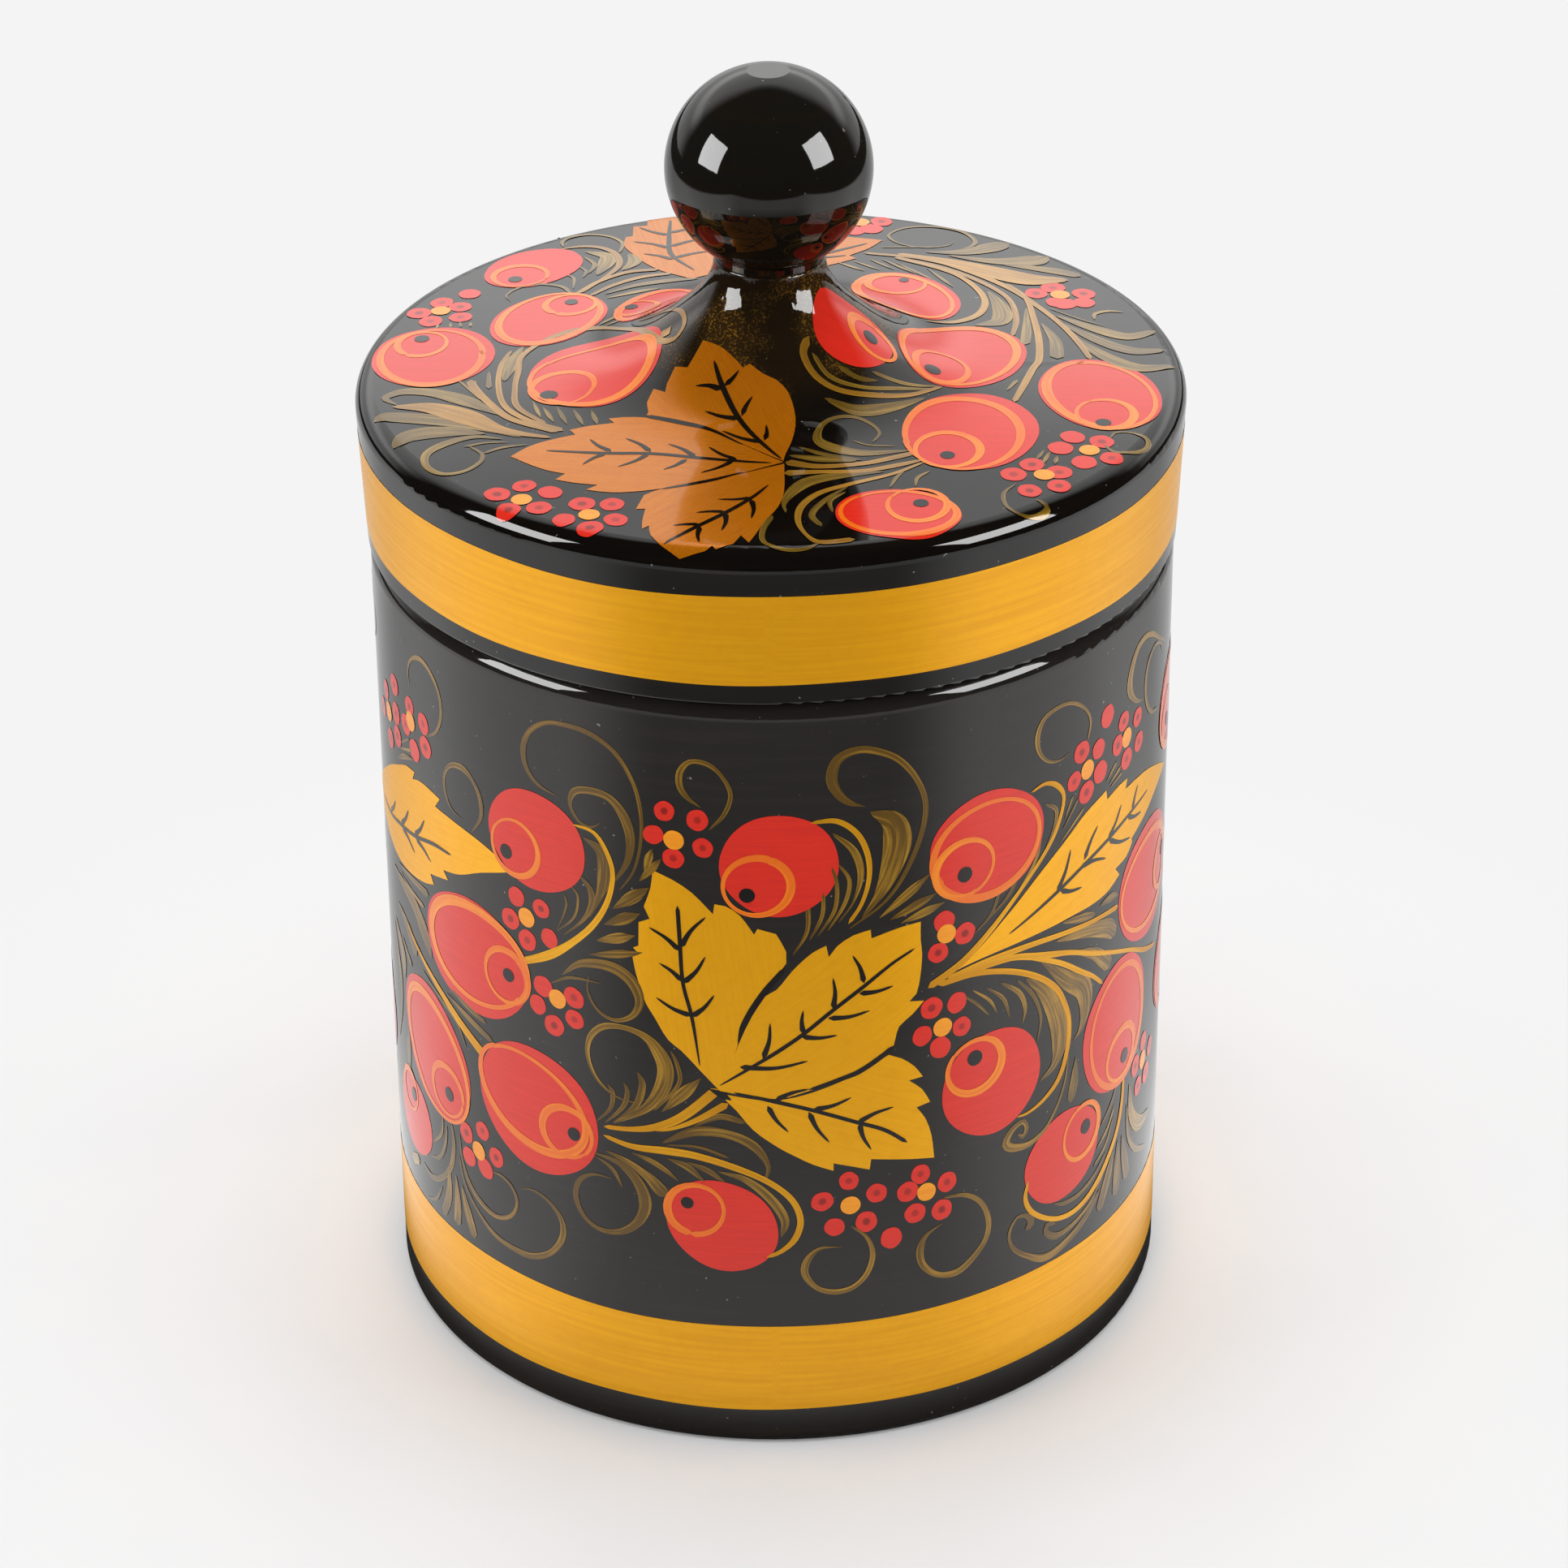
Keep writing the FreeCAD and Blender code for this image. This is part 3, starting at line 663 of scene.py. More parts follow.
# Brown-gold petals and grass, (u, v, width).
JAR_GRASS = [
    [(-23.7, 85.2, 0.2), (-21.3, 83.7, 1.6), (-21, 80.3, 1.9), (-21.7, 77.7, 1), (-23.2, 74.2, 0.2)],
    [(-24.3, 79.7, 0.3), (-23, 78.3, 0.8), (-22.8, 76.3, 0.8), (-24, 73.7, 0.5), (-26.8, 70.8, 0.1)],
    [(-25.5, 78, 0.2), (-24.7, 76.7, 0.3), (-25.3, 73.7, 0.3), (-27.8, 71, 0.1)],
    [(-26.7, 76.7, 0.2), (-26.3, 75.3, 0.3), (-27.7, 71.3, 0.1)],
    [(-29, 63.3, 0.2), (-26, 65, 0.4), (-21.7, 65.3, 0.1)],
    [(-15.3, 48.5, 0.3), (-12, 53, 0.5), (-12.3, 56, 0.5), (-13, 57.5, 0.2)],
    [(-21.8, 45.3, 0.2), (-19.3, 48.3, 0.6), (-18.7, 50.7, 0.6), (-19.2, 51.8, 0.2)],
    [(-20.7, 45.6, 0.2), (-17.7, 48.7, 0.8), (-16.7, 52, 0.9), (-17.3, 53.7, 0.3)],
    [(-23, 45.2, 0.2), (-21, 47.7, 0.5), (-20.7, 50, 0.6), (-21.3, 51, 0.3)],
    [(-14.3, 44, 0.3), (-10.3, 46.2, 1.3), (-6.3, 46.3, 1.3), (-3, 44.7, 1.2), (-1.2, 41.7, 0.6),
     (-1.7, 39.3, 0.2)],
    [(-10.3, 47, 0.2), (-7, 48.7, 0.9), (-3.8, 48, 0.6)],
    [(-13.7, 43.8, 0.2), (-9.7, 44, 0.4), (-6, 42.8, 0.5)],
    [(-21.8, 41.2, 0.3), (-19, 40.3, 0.8), (-16.3, 38.7, 1.3), (-14.7, 37, 1.8), (-13.8, 36.2, 1.4)],
    [(-23.3, 40, 0.2), (-21, 38.7, 0.5), (-19.7, 36.3, 0.2)],
    [(-18.3, 41.8, 0.2), (-15, 40.7, 0.8), (-12.3, 38.7, 0.2)],
    [(-13.7, 41.8, 0.2), (-11.3, 41, 0.9), (-9, 39, 0.3)],
    [(-11.3, 41.7, 0.2), (-8.7, 40.7, 0.8), (-6.5, 39.2, 0.3)],
    [(-7.3, 40.7, 0.2), (-4, 39.7, 0.9), (-1, 37, 1.2), (0.8, 33.7, 1.1), (0.3, 31.3, 0.3)],
    [(-50.7, 34.2, 0.4), (-51.3, 31.3, 0.6), (-53.7, 28.7, 0.3)],
    [(-49.7, 33.3, 0.3), (-50.3, 30.3, 0.6), (-52, 27.3, 0.6), (-54.7, 26, 0.2)],
    [(-48.5, 34.3, 0.4), (-48.2, 31.3, 0.9), (-49, 27.7, 0.9), (-51.3, 24.7, 0.8), (-54.7, 22.8, 0.8),
     (-57.7, 23.3, 0.4)],
    [(-49.5, 27.7, 0.3), (-50, 22.7, 1.5), (-51.7, 18.7, 1.3)],
    [(-48, 26.7, 0.3), (-47.8, 22.7, 1.5), (-48.2, 19, 1.6)],
    [(-46.7, 26, 0.3), (-45.5, 22.3, 1.6), (-44.2, 19, 1.6)],
    [(-51.7, 23, 0.3), (-53.7, 20, 0.5), (-56.7, 18.5, 0.1)],
    [(-62.5, 21.2, 1.5), (-59, 22.8, 1.5)],
    [(-62, 65.7, 0.2), (-57, 66.1, 0.8), (-51.7, 66.2, 1.2)],
    [(-61.3, 64.7, 0.2), (-53.2, 63.7, 0.8)],
    [(-64.7, 64, 0.4), (-56.7, 62.7, 2.2), (-53.3, 59.7, 2.5), (-51.7, 57, 0.4)],
    [(-63.3, 59.3, 0.4), (-59.3, 57.7, 1.8), (-56.3, 55, 2.3)],
    [(-48.3, 53.8, 0.3), (-43, 52.3, 0.9), (-39, 51, 0.8)],
    [(-47, 55, 0.3), (-43.7, 54, 0.7), (-40, 53.2, 0.6)],
    [(-54.7, 54, 0.2), (-49.3, 52, 0.4), (-46, 50.3, 0.4), (-44.3, 47.7, 0.3)],
    [(-62, 55, 0.3), (-58.3, 52.3, 1)],
    [(-65.3, 56, 0.5), (-62, 52.3, 2), (-61.7, 48.7, 0.8)],
    [(-66.3, 55, 0.5), (-63.7, 48, 1), (-64.3, 42.7, 0.8), (-67, 37, 0.3)],
    [(-61, 41.3, 0.3), (-61.3, 38.7, 1.6), (-61.7, 34.7, 0.8)],
    [(-59.8, 81.8, 0.2), (-57.3, 83.2, 0.8), (-54.3, 84.2, 0.2)],
    [(-58.7, 83.7, 0.2), (-54.7, 85.3, 0.5)],
    [(-58.3, 84.7, 0.2), (-55.2, 86.7, 0.4)],
    [(10.3, 76.2, 0.2), (12.3, 79, 1.2), (13.8, 82.3, 2.6), (14.7, 86.3, 3.6), (14, 89, 2.8),
     (11.3, 90.7, 0.3)],
    [(2, 71.8, 0.2), (3.7, 75, 0.5), (3.8, 78.7, 0.6), (3.5, 80, 0.3)],
    [(4, 73.8, 0.2), (5.5, 77, 0.5), (5.7, 80.3, 0.4)],
    [(5, 74.3, 0.2), (7, 77.7, 0.5), (7.3, 81.3, 0.5), (6.7, 83.7, 0.3)],
    [(6.2, 75, 0.2), (8.3, 78.7, 0.5), (8.8, 81.7, 0.5), (7.5, 84, 0.3)],
    [(7.5, 76, 0.2), (9.3, 78.7, 0.3), (10.2, 82.3, 0.8), (9.3, 85.7, 0.9), (6.8, 88.3, 0.3)],
    [(35.3, 85.5, 0.3), (37.2, 84, 0.6), (37, 81.7, 0.5), (35.3, 78.7, 0.2)],
    [(38.5, 80.7, 0.2), (41.3, 84, 0.5)],
    [(38, 79, 0.2), (42.5, 82.2, 0.4)],
    [(38.8, 82, 0.2), (40.3, 84.8, 0.4)],
    [(47, 83.7, 0.2), (49.5, 85.5, 0.6)],
    [(47.7, 83, 0.2), (50.5, 84.3, 0.5)],
    [(48, 82.5, 0.2), (51, 83.3, 0.4)],
    [(25, 71, 0.2), (27.3, 73, 0.4), (28.5, 76, 0.5)],
    [(26.7, 72.3, 0.2), (30, 75, 0.6), (31.3, 77.7, 0.6)],
    [(31, 74.5, 0.2), (34, 78.3, 0.5), (34.7, 81.7, 0.6)],
    [(32.7, 62, 0.3), (36, 58.7, 2.2), (38.3, 53.7, 3), (38.7, 49.7, 2.6), (37.7, 47.3, 1.2),
     (35.3, 46, 0.2)],
    [(35, 63.7, 0.3), (40, 58.7, 2.4), (43, 56.3, 3.2), (43.7, 53.3, 2.4), (42.7, 50.3, 0.8),
     (41.3, 49.3, 0.1)],
    [(37.7, 65.3, 0.3), (44, 64, 1.8), (48.3, 62.3, 2.6), (50.2, 60.5, 1.8)],
    [(41, 62.3, 0.4), (45, 60.3, 1.6), (48.3, 57.3, 2.2), (49, 56.3, 1.6)],
    [(38.7, 67.5, 0.3), (42.7, 66.5, 1.2), (45.3, 65.8, 0.7)],
    [(46.3, 66.5, 0.3), (49, 66.5, 1.3), (50.5, 66, 0.4)],
    [(23, 63, 0.2), (25.3, 61, 0.4), (27.2, 58.7, 0.2)],
    [(24.8, 63, 0.2), (27.3, 60.7, 0.4), (28.3, 58.7, 0.2)],
    [(26.7, 62.8, 0.2), (29.3, 60.3, 0.5), (30.3, 57.2, 0.2)],
    [(28.8, 62.8, 0.3), (31.7, 60.3, 0.7), (32.7, 57.7, 0.6), (32.3, 55.7, 0.2)],
    [(31.3, 62.3, 0.3), (34, 59, 0.6), (35.3, 55.3, 0.5), (34.8, 52, 0.2)],
    [(41.9, 46.7, 0.2), (41.7, 43.3, 1.6), (41, 40.3, 1.4)],
    [(51.7, 37.5, 0.4), (50.3, 35.3, 0.6), (47.8, 33.3, 0.4)],
    [(51.3, 34.8, 0.3), (49.7, 32.3, 0.5), (47, 30.3, 0.4)],
    [(51, 33, 0.3), (49.3, 30, 0.5), (46.3, 28, 0.4)],
    [(49.3, 28.7, 0.4), (46.7, 26.7, 0.6), (43.3, 25.5, 0.7), (40, 25.7, 0.6), (38.3, 26.5, 0.2)],
    [(51.3, 28, 0.3), (50, 24.7, 1.8), (47.8, 20.3, 1.7)],
    [(52.5, 28.7, 0.3), (52.5, 24.3, 2), (52.3, 20.3, 2)],
    [(53.7, 28.7, 0.3), (54.7, 24.7, 1.9), (55.7, 21, 2)],
]

# Small pointed strokes: (base, tip, width).
JAR_LEAFLETS = [
    ((-20, 76.2), (-15.3, 80), 1.6), ((-21.2, 73.7), (-16.5, 76.2), 1.5), ((-22.3, 71.2), (-17.2, 73), 1.4),
    ((-23.3, 69), (-16.3, 70.8), 1.1), ((-16.5, 80.7), (-13.7, 84.2), 1), ((-15.8, 82.3), (-14.8, 85.4), 1),
    ((-14.3, 48.5), (-9.3, 54), 1.5), ((12.5, 76), (19, 81), 1.2), ((13.8, 75.5), (19.7, 78), 1.2),
    ((15.2, 74.8), (20.8, 76.5), 1.1),
]


# ---------------------------------------------------------------- the lid's painting

# The same kinds of motif, listed the same way.
LID_BERRIES = [
    ((-41.6, 3.7, 8.9, 7.5, 85), (-41.8, 3.5, 8.2, 6.4, 90, 0.9), (-43.2, 7.6, 3.1, 3.6, 0, 0.7),
     (-43.3, 9.2, 0.95)),
    ((-27.7, 13.8, 8.8, 6.6, 60), (-27.6, 14.1, 8.2, 5.9, 62, 0.9), (-25.1, 18.2, 3.2, 3.2, 0, 0.7),
     (-25, 19, 0.85)),
    ((-30.2, 30.8, 7.2, 5.3, 50), None, (-31.8, 28.2, 3.5, 3.5, 0, 0.7), (-32.4, 27.1, 0.9)),
    ((-21.3, -3.8, 9, 8.2, 88), (-21.8, -4.7, 7.6, 7.4, 0, 0.9), (-25.3, -7.2, 3.9, 4.4, 0, 0.7),
     (-26.9, -8.9, 1.1)),
    ((-14, 15.8, 7, 4.6, 55), (-14.3, 15.9, 6.3, 4, 55, 0.8), (-16.6, 15.4, 2.6, 2.8, 0, 0.7),
     (-17.4, 16.2, 0.85)),
    ((17.3, 19.3, 8.6, 6, 115), (16.9, 19.3, 8, 5.4, 115, 0.9), (16, 23.4, 3.7, 3.2, 0, 0.7),
     (17, 24.8, 0.65)),
    ((23.5, 0.6, 9.8, 7.4, 60), (23.2, 0.7, 9.2, 6.6, 60, 0.9), (20.8, -4, 3.3, 3.8, 0, 0.8),
     (19.7, -5.2, 1)),
    ((39.9, -9, 10, 7.3, 102), (40, -9.2, 9.4, 6.4, 100, 0.9), (40.2, -14.6, 3.5, 4, 0, 0.8),
     (39.8, -17, 0.95)),
    ((23.8, -19.9, 10.1, 8.1, 75), (22.8, -20.6, 9.3, 7, 80, 0.9), (20.9, -24.9, 3.9, 4.5, 0, 0.8),
     (20.8, -26.3, 0.9)),
    ((14.6, -41.0, 7.4, 5.9, -4), (14.7, -40.8, 6.8, 5.3, -6, 0.75), (16.9, -38.9, 3.5, 4, 0, 0.7),
     (17.3, -38.5, 0.9)),
    ((9.9, -6.2, 5.4, 4.1, 40), None, (12.4, -5.2, 2.4, 2.9, 60, 0.7), (12.1, -5.1, 0.85)),
]

LID_FLOWERS = [
    ((-29.2, -36.2), (-29, -32.8), (-32.1, -34.7), (-25.9, -34.6), (-30.6, -38.5), (-27.1, -38.4)),
    ((-21.2, -40.4), (-22.1, -37.7), (-18.6, -38), (-24.1, -41.5), (-18.1, -41.8), (-21, -43.6)),
    ((37.7, -24.4), (35.9, -21), (39.3, -22.1), (34.3, -24), (40.2, -26.4), (36.9, -27.6)),
    ((32, -31), (30.7, -28.4), (33.8, -30.3), (28.4, -31), (33.6, -33.8), (30.1, -35.1)),
    ((-41.4, 17.8), (-41.4, 20.4), (-39, 18.8), (-44.1, 17.3), (-38.8, 15.5), (-42.5, 14.6), (-38, 22.9)),
    ((36.6, 20.8), (35.8, 23), (33.6, 21.1), (39.6, 21.3), (36.1, 18.3), (37.1, 17.9), (39.5, 18.4)),
    ((11.8, 45), (14.6, 45.2), (13.2, 42.6), (10.5, 47.6), (9.2, 44), (11, 42)),
]

LID_LEAVES = [
    ([(-8.1, -8.3), (-5.6, -10.4), (-3.3, -13), (-2.5, -12.7), (-0.9, -13.9), (0.7, -14.6), (2.1, -16),
      (2.9, -19.3), (2.5, -22.9), (1.6, -26.4), (1.4, -27.9), (-7.2, -20.7), (-10.9, -18.6), (-14.9, -16.3),
      (-14.7, -15.7), (-14.9, -13.9), (-14.1, -11.8), (-12.7, -13), (-12.5, -11.8), (-11.5, -9.8),
      (-10, -10.7)],
     [(-6.8, -11.3, 0.3), (-5.8, -14.6, 0.6), (-3.8, -19.3, 0.6), (-0.6, -24.6, 0.5), (1.2, -27.5, 0.2)],
     [((-9, -13.6), (-5.9, -15)), ((-3.8, -13.2), (-5.6, -14.6)), ((-7.9, -17.5), (-3.8, -19.3)),
      ((-2.2, -16.4), (-3.5, -18.9)), ((-5.8, -21.1), (-1.1, -23.6)), ((-0.6, -20.4), (-0.8, -23.2))]),
    ([(-30.9, -25.1), (-29.1, -22.9), (-27, -21.4), (-23.4, -19.9), (-24.1, -18.6), (-21.6, -17.7),
      (-18.8, -17.3), (-19.5, -16.1), (-17.7, -16.1), (-15, -16.8), (-10.9, -18.9), (-7.2, -20.7),
      (1.4, -28.2), (-6.6, -32.3), (-12.7, -34.3), (-14.9, -34.8), (-17.7, -35.1), (-19.9, -34.8),
      (-21.7, -34.2), (-20.4, -33.1), (-23.4, -32.3), (-25.4, -31.4), (-24.3, -30), (-26.3, -29.1),
      (-28.4, -27.5)],
     [(-26.7, -23.9, 0.3), (-19.9, -25, 0.6), (-14.1, -25.5, 0.6), (-8.8, -26.8, 0.6), (-3.1, -28, 0.5),
      (0, -28.4, 0.2)],
     [((-21.6, -21.3), (-19, -24.6)), ((-17.3, -21.4), (-14.3, -25)), ((-12.2, -23.2), (-9, -26.6)),
      ((-7.4, -24.3), (-4.1, -27.5)), ((-22.3, -27.8), (-19.5, -25)), ((-18.1, -28.6), (-14.5, -25.5)),
      ((-12.7, -29.6), (-10, -27.1)), ((-8.3, -30.6), (-4.5, -27.7))]),
    ([(-14.9, -35.9), (-15.8, -39.3), (-14.7, -39.3), (-15, -42.1), (-15, -44.2), (-14.2, -43.4),
      (-14, -45.7), (-12.7, -48), (-10.6, -49.5), (-7.7, -49.2), (-6.9, -48.5), (-6.5, -49.1),
      (-4.5, -48.2), (-3.6, -46.1), (-2.7, -47.9), (-2, -46.1), (-0.9, -42.9), (0.7, -39.3), (1.4, -35.7),
      (1.5, -28.6), (-6.6, -32.3), (-12.7, -34.3)],
     [(-12.4, -47.8, 0.3), (-9.1, -44.3, 0.6), (-5.2, -40.4, 0.6), (-2.2, -36.8, 0.5), (-0.4, -33.9, 0.2)],
     [((-11.4, -43.5), (-8.3, -43.4)), ((-8.8, -40.5), (-5.4, -40.4)), ((-6.3, -37.3), (-2.2, -37)),
      ((-8.4, -47.7), (-8.3, -43.9)), ((-5.8, -44.9), (-5.4, -40.7)), ((-2.4, -42.1), (-2.4, -37.5))]),
    ([(-7.7, 27), (-9.9, 25.6), (-13.6, 28.4), (-14.9, 29.9), (-16.3, 32), (-17.7, 34.9), (-18.8, 37.7),
      (-18.6, 40.6), (-17.7, 40.9), (-17.7, 44.3), (-15.9, 44.5), (-15.9, 46.6), (-13.6, 47.4),
      (-10.8, 49.3), (-8.4, 47.3), (-5.4, 46.6), (-5.9, 44.6), (-3.6, 42.4), (-3, 38), (-3.4, 33),
      (-5, 29)],
     [(-12.9, 46.3, 0.3), (-13, 40, 0.6), (-12.6, 34.1, 0.6), (-9.6, 28.5, 0.2)],
     [((-16.9, 43.9), (-13.1, 41)), ((-17.6, 38.9), (-12.9, 36.4)), ((-16.2, 34.6), (-12.4, 32.4)),
      ((-8.2, 45.4), (-12.9, 41.8)), ((-6.4, 40.2), (-12.8, 37)), ((-6.2, 35.4), (-12.2, 33))]),
    ([(14.6, 38.6), (10.2, 39.7), (8.4, 38.2), (7.6, 39.4), (4.2, 37.6), (0.8, 34.4), (-2.2, 30.6),
      (-4.4, 27.4), (0, 27.2), (4.6, 28.3), (8.2, 30.2), (11.1, 32.2), (10.2, 33.2), (12.7, 35.6)],
     [(12.6, 37.4, 0.3), (8, 34.4, 0.6), (3, 31, 0.6), (-2.6, 28.2, 0.2)],
     [((8.6, 37.2), (7.2, 34)), ((4, 35.2), (3, 31.4)), ((9.8, 33.2), (5.6, 32.6)), ((5, 29.9), (1, 30))]),
    ([(2.4, 49.6), (-0.6, 47.4), (0, 46), (-2.4, 43.4), (-2.4, 38), (-2.8, 33), (-3.6, 29.4), (0.4, 34.6),
      (3.8, 38.2), (6.6, 40.4), (7, 43.4), (5.8, 44), (6.2, 46.4), (4.6, 47)],
     [(2.2, 47.6, 0.3), (1.8, 42.5, 0.6), (0.4, 37.4, 0.5), (-2, 33, 0.2)],
     [((-1.4, 45), (1.9, 43)), ((-1.6, 40.6), (1, 39)), ((5, 45.2), (2, 43.6)), ((4.2, 41), (1.4, 40.4))]),
]

LID_GAPS = [
    [(-15, -16.5, 0.6), (-10.9, -18.7, 0.7), (-7.2, -20.7, 0.5), (-3.4, -24, 0.2)],
    [(-12.9, -34.5, 0.3), (-9.5, -33.4, 0.6), (-6.6, -32.3, 0.6), (-3.4, -30.6, 0.2)],
    [(-3.2, 28, 0.2), (0.4, 33, 0.6), (4.2, 36.9, 0.7), (7.4, 39.6, 0.3)],
    [(-5, 28, 0.2), (-3.1, 33, 0.6), (-2.7, 38, 0.7), (-3, 43.2, 0.3)],
]

LID_STEMS = [
    [(12.1, 34.1, 0.6), (20, 32, 0.8), (25, 28.4, 1), (30.4, 22.4, 0.9), (33.9, 16.3, 0.8),
     (36.4, 10.9, 0.8), (38.2, 5.6, 0.9), (39.3, 0.9, 0.7)],
    [(16.1, 32.7, 0.6), (22.1, 29.1, 0.8), (27.1, 24.1, 0.8), (30, 19.1, 0.7), (30.7, 12.7, 0.8),
     (30, 7.4, 0.6)],
    [(30, 24, 0.5), (32.1, 19.9, 0.7), (32.9, 12.7, 0.8), (33.2, 6.3, 0.9), (32.9, 0.2, 0.9),
     (32.1, -2.1, 0.9), (30.7, -7.1, 0.9), (29.3, -11.8, 0.7)],
    [(16, 32.5, 0.5), (22.9, 27.7, 0.7), (25.7, 23.4, 0.8), (27, 18.4, 0.9), (26.1, 14.1, 1),
     (23.2, 11.3, 0.9), (19.3, 10.4, 0.4)],
    [(16.4, 33.8, 0.8), (23.2, 30.9, 2.2), (28.6, 27.7, 3.6), (32.9, 25.6, 3.6), (37.9, 25.6, 1)],
    [(-24.5, 21.6, 0.6), (-21.6, 25.6, 0.7), (-18.1, 28.4, 0.8), (-14.1, 29.1, 0.8)],
    [(-22.7, 20.9, 0.6), (-19.9, 24.1, 0.7), (-16.3, 26.6, 0.8), (-12.4, 27.7, 0.8)],
    [(-23.8, 22, 0.4), (-20.9, 27, 0.6), (-19.3, 30.6, 0.8), (-19.7, 34.5, 0.9), (-21.6, 37, 0.8),
     (-24.1, 37.7, 0.7), (-27, 37, 0.3)],
    [(-24.9, -18.8, 1.2), (-29.1, -15.7, 0.9), (-32, -11.8, 0.8), (-33.1, -6.4, 0.7), (-33.1, 0, 0.6),
     (-32, 4.5, 0.5)],
    [(-25.6, -19.1, 0.8), (-31.3, -15, 1), (-34.1, -10.4, 1), (-36.3, -5.4, 1.1), (-36.6, -3.7, 1.2)],
    [(-27, -16.8, 0.6), (-30.6, -11.8, 0.8), (-31.1, -6.4, 0.7), (-30.9, -2.1, 0.8), (-30.6, 2.7, 0.8),
     (-27.7, 7.4, 0.8), (-24.9, 9.5, 1.2), (-21.6, 9.9, 1.2), (-19.1, 8.1, 0.8), (-16.3, 3.4, 0.8),
     (-14.5, -1.6, 1), (-13.4, -4.1, 0.9), (-11.6, -5.5, 0.6), (-10.4, -4.3, 0.5), (-10.9, -0.9, 0.5),
     (-13.4, 4.5, 0.4), (-16.3, 8.1, 0.4)],
    [(-13.4, -3.6, 1.2), (-12.7, -3.2, 1.9), (-12, -2.8, 1.2)],
    [(-26.3, -20.5, 0.6), (-32, -18.2, 1.6), (-37, -13.9, 3.6), (-41.3, -11.1, 2.6), (-45.8, -10.4, 0.6)],
    [(1.6, -28.2, 1.6), (5.4, -29.3, 1.1), (10.7, -28.6, 0.9), (14.3, -27.1, 1), (17.1, -25.7, 0.8)],
    [(1.4, -31, 1.5), (5.4, -30.7, 0.9), (10.7, -30.4, 0.8), (15, -28.9, 0.9), (17.9, -27.5, 0.4)],
    [(17.9, -28.2, 0.4), (14.3, -31.1, 0.6), (8.9, -33.9, 0.8), (5.4, -36.1, 0.9), (3.4, -39.3, 0.9),
     (3, -42.9, 0.7), (3.9, -46.1, 0.5), (5.4, -47.9, 0.9), (9.5, -47.3, 1)],
    [(4.6, -9.5, 0.9), (3.9, -11.4, 0.9), (5.4, -13.6, 0.8), (8.2, -14.6, 0.7), (12.5, -13.9, 0.8),
     (16.8, -12.1, 0.7), (20.7, -8.8, 0.5)],
]

LID_CURLS = [
    [(21.4, 34.4, 0.3), (25, 35.6, 0.5), (26.6, 38.1, 0.6), (25, 41.6, 0.5), (21.4, 43.4, 0.4),
     (17.5, 42.9, 0.4), (15.4, 40.2, 0.4), (16.8, 37.4, 0.3), (20, 36.1, 0.3), (23.2, 37, 0.2),
     (23.8, 38.3, 0)],
    [(44.3, 15.6, 0.2), (42.5, 15.9, 0.6), (40.7, 14.9, 0.6), (40.5, 13.1, 0.3)],
    [(-25.2, 22, 0.5), (-26.3, 24.1, 0.6), (-28.8, 25.2, 0.5), (-31.6, 24.5, 0.4), (-33.3, 22, 0.3),
     (-32.7, 19.9, 0)],
    [(-19.3, 35.2, 0.4), (-19, 38.4, 0.5), (-20.6, 40.9, 0.5), (-23.4, 41.8, 0.4), (-25.9, 40.9, 0.5),
     (-26.8, 39.5, 0.6), (-26.6, 37.7, 0.2)],
    [(-32.7, -13.8, 0.3), (-37, -9.6, 2.4), (-41.3, -6.8, 2), (-44.9, -6.3, 1.6), (-46.8, -7.9, 1),
     (-45.2, -10, 0.3)],
    [(-32, -20.4, 0.2), (-35.6, -19.6, 0.9), (-38.8, -21.1, 1.3), (-40.9, -23.6, 1.1), (-40.8, -26.8, 0.8),
     (-38.8, -29.1, 0.7), (-36.3, -28.6, 0.6), (-34.5, -26.4, 0.6), (-34.3, -24.3, 0.5),
     (-35.9, -22.1, 0.3)],
    [(16.4, -25.2, 0.3), (10.7, -25.9, 1.5), (7.1, -24.6, 1.8), (5.5, -22.9, 1.2), (5.9, -20.4, 0.7),
     (7.5, -18.8, 0.5), (10, -18.2, 0.5), (12.1, -19.3, 0.5), (12.9, -21.1, 0.4), (12, -23.2, 0.3)],
    [(13.2, -30.6, 0.3), (8.9, -31.4, 1.3), (4.6, -32.9, 2), (2.5, -35.4, 1.6), (1.4, -38.6, 0.6),
     (1.6, -40.7, 0.2)],
    [(0, -41.4, 0.8), (-1.1, -45, 0.7), (-0.9, -47.9, 0.6), (1.1, -49.3, 0.5), (3.9, -49.2, 0.5),
     (5.5, -48, 0.4)],
    [(39.5, -22.9, 0.3), (40.7, -24.8, 0.5), (42.9, -24.6, 0.5), (44.5, -22.9, 0.5), (44.8, -21.1, 0.7),
     (42.9, -19.5, 0.3), (41.1, -19.6, 0.4), (40.4, -21.1, 0.2)],
    [(28.6, -33.4, 0.2), (27.1, -35.7, 0.5), (27.1, -38.6, 0.5), (28.2, -40.4, 0.4), (30, -40.4, 0.4),
     (32, -38.6, 0.7), (30.7, -37.3, 0.3)],
]

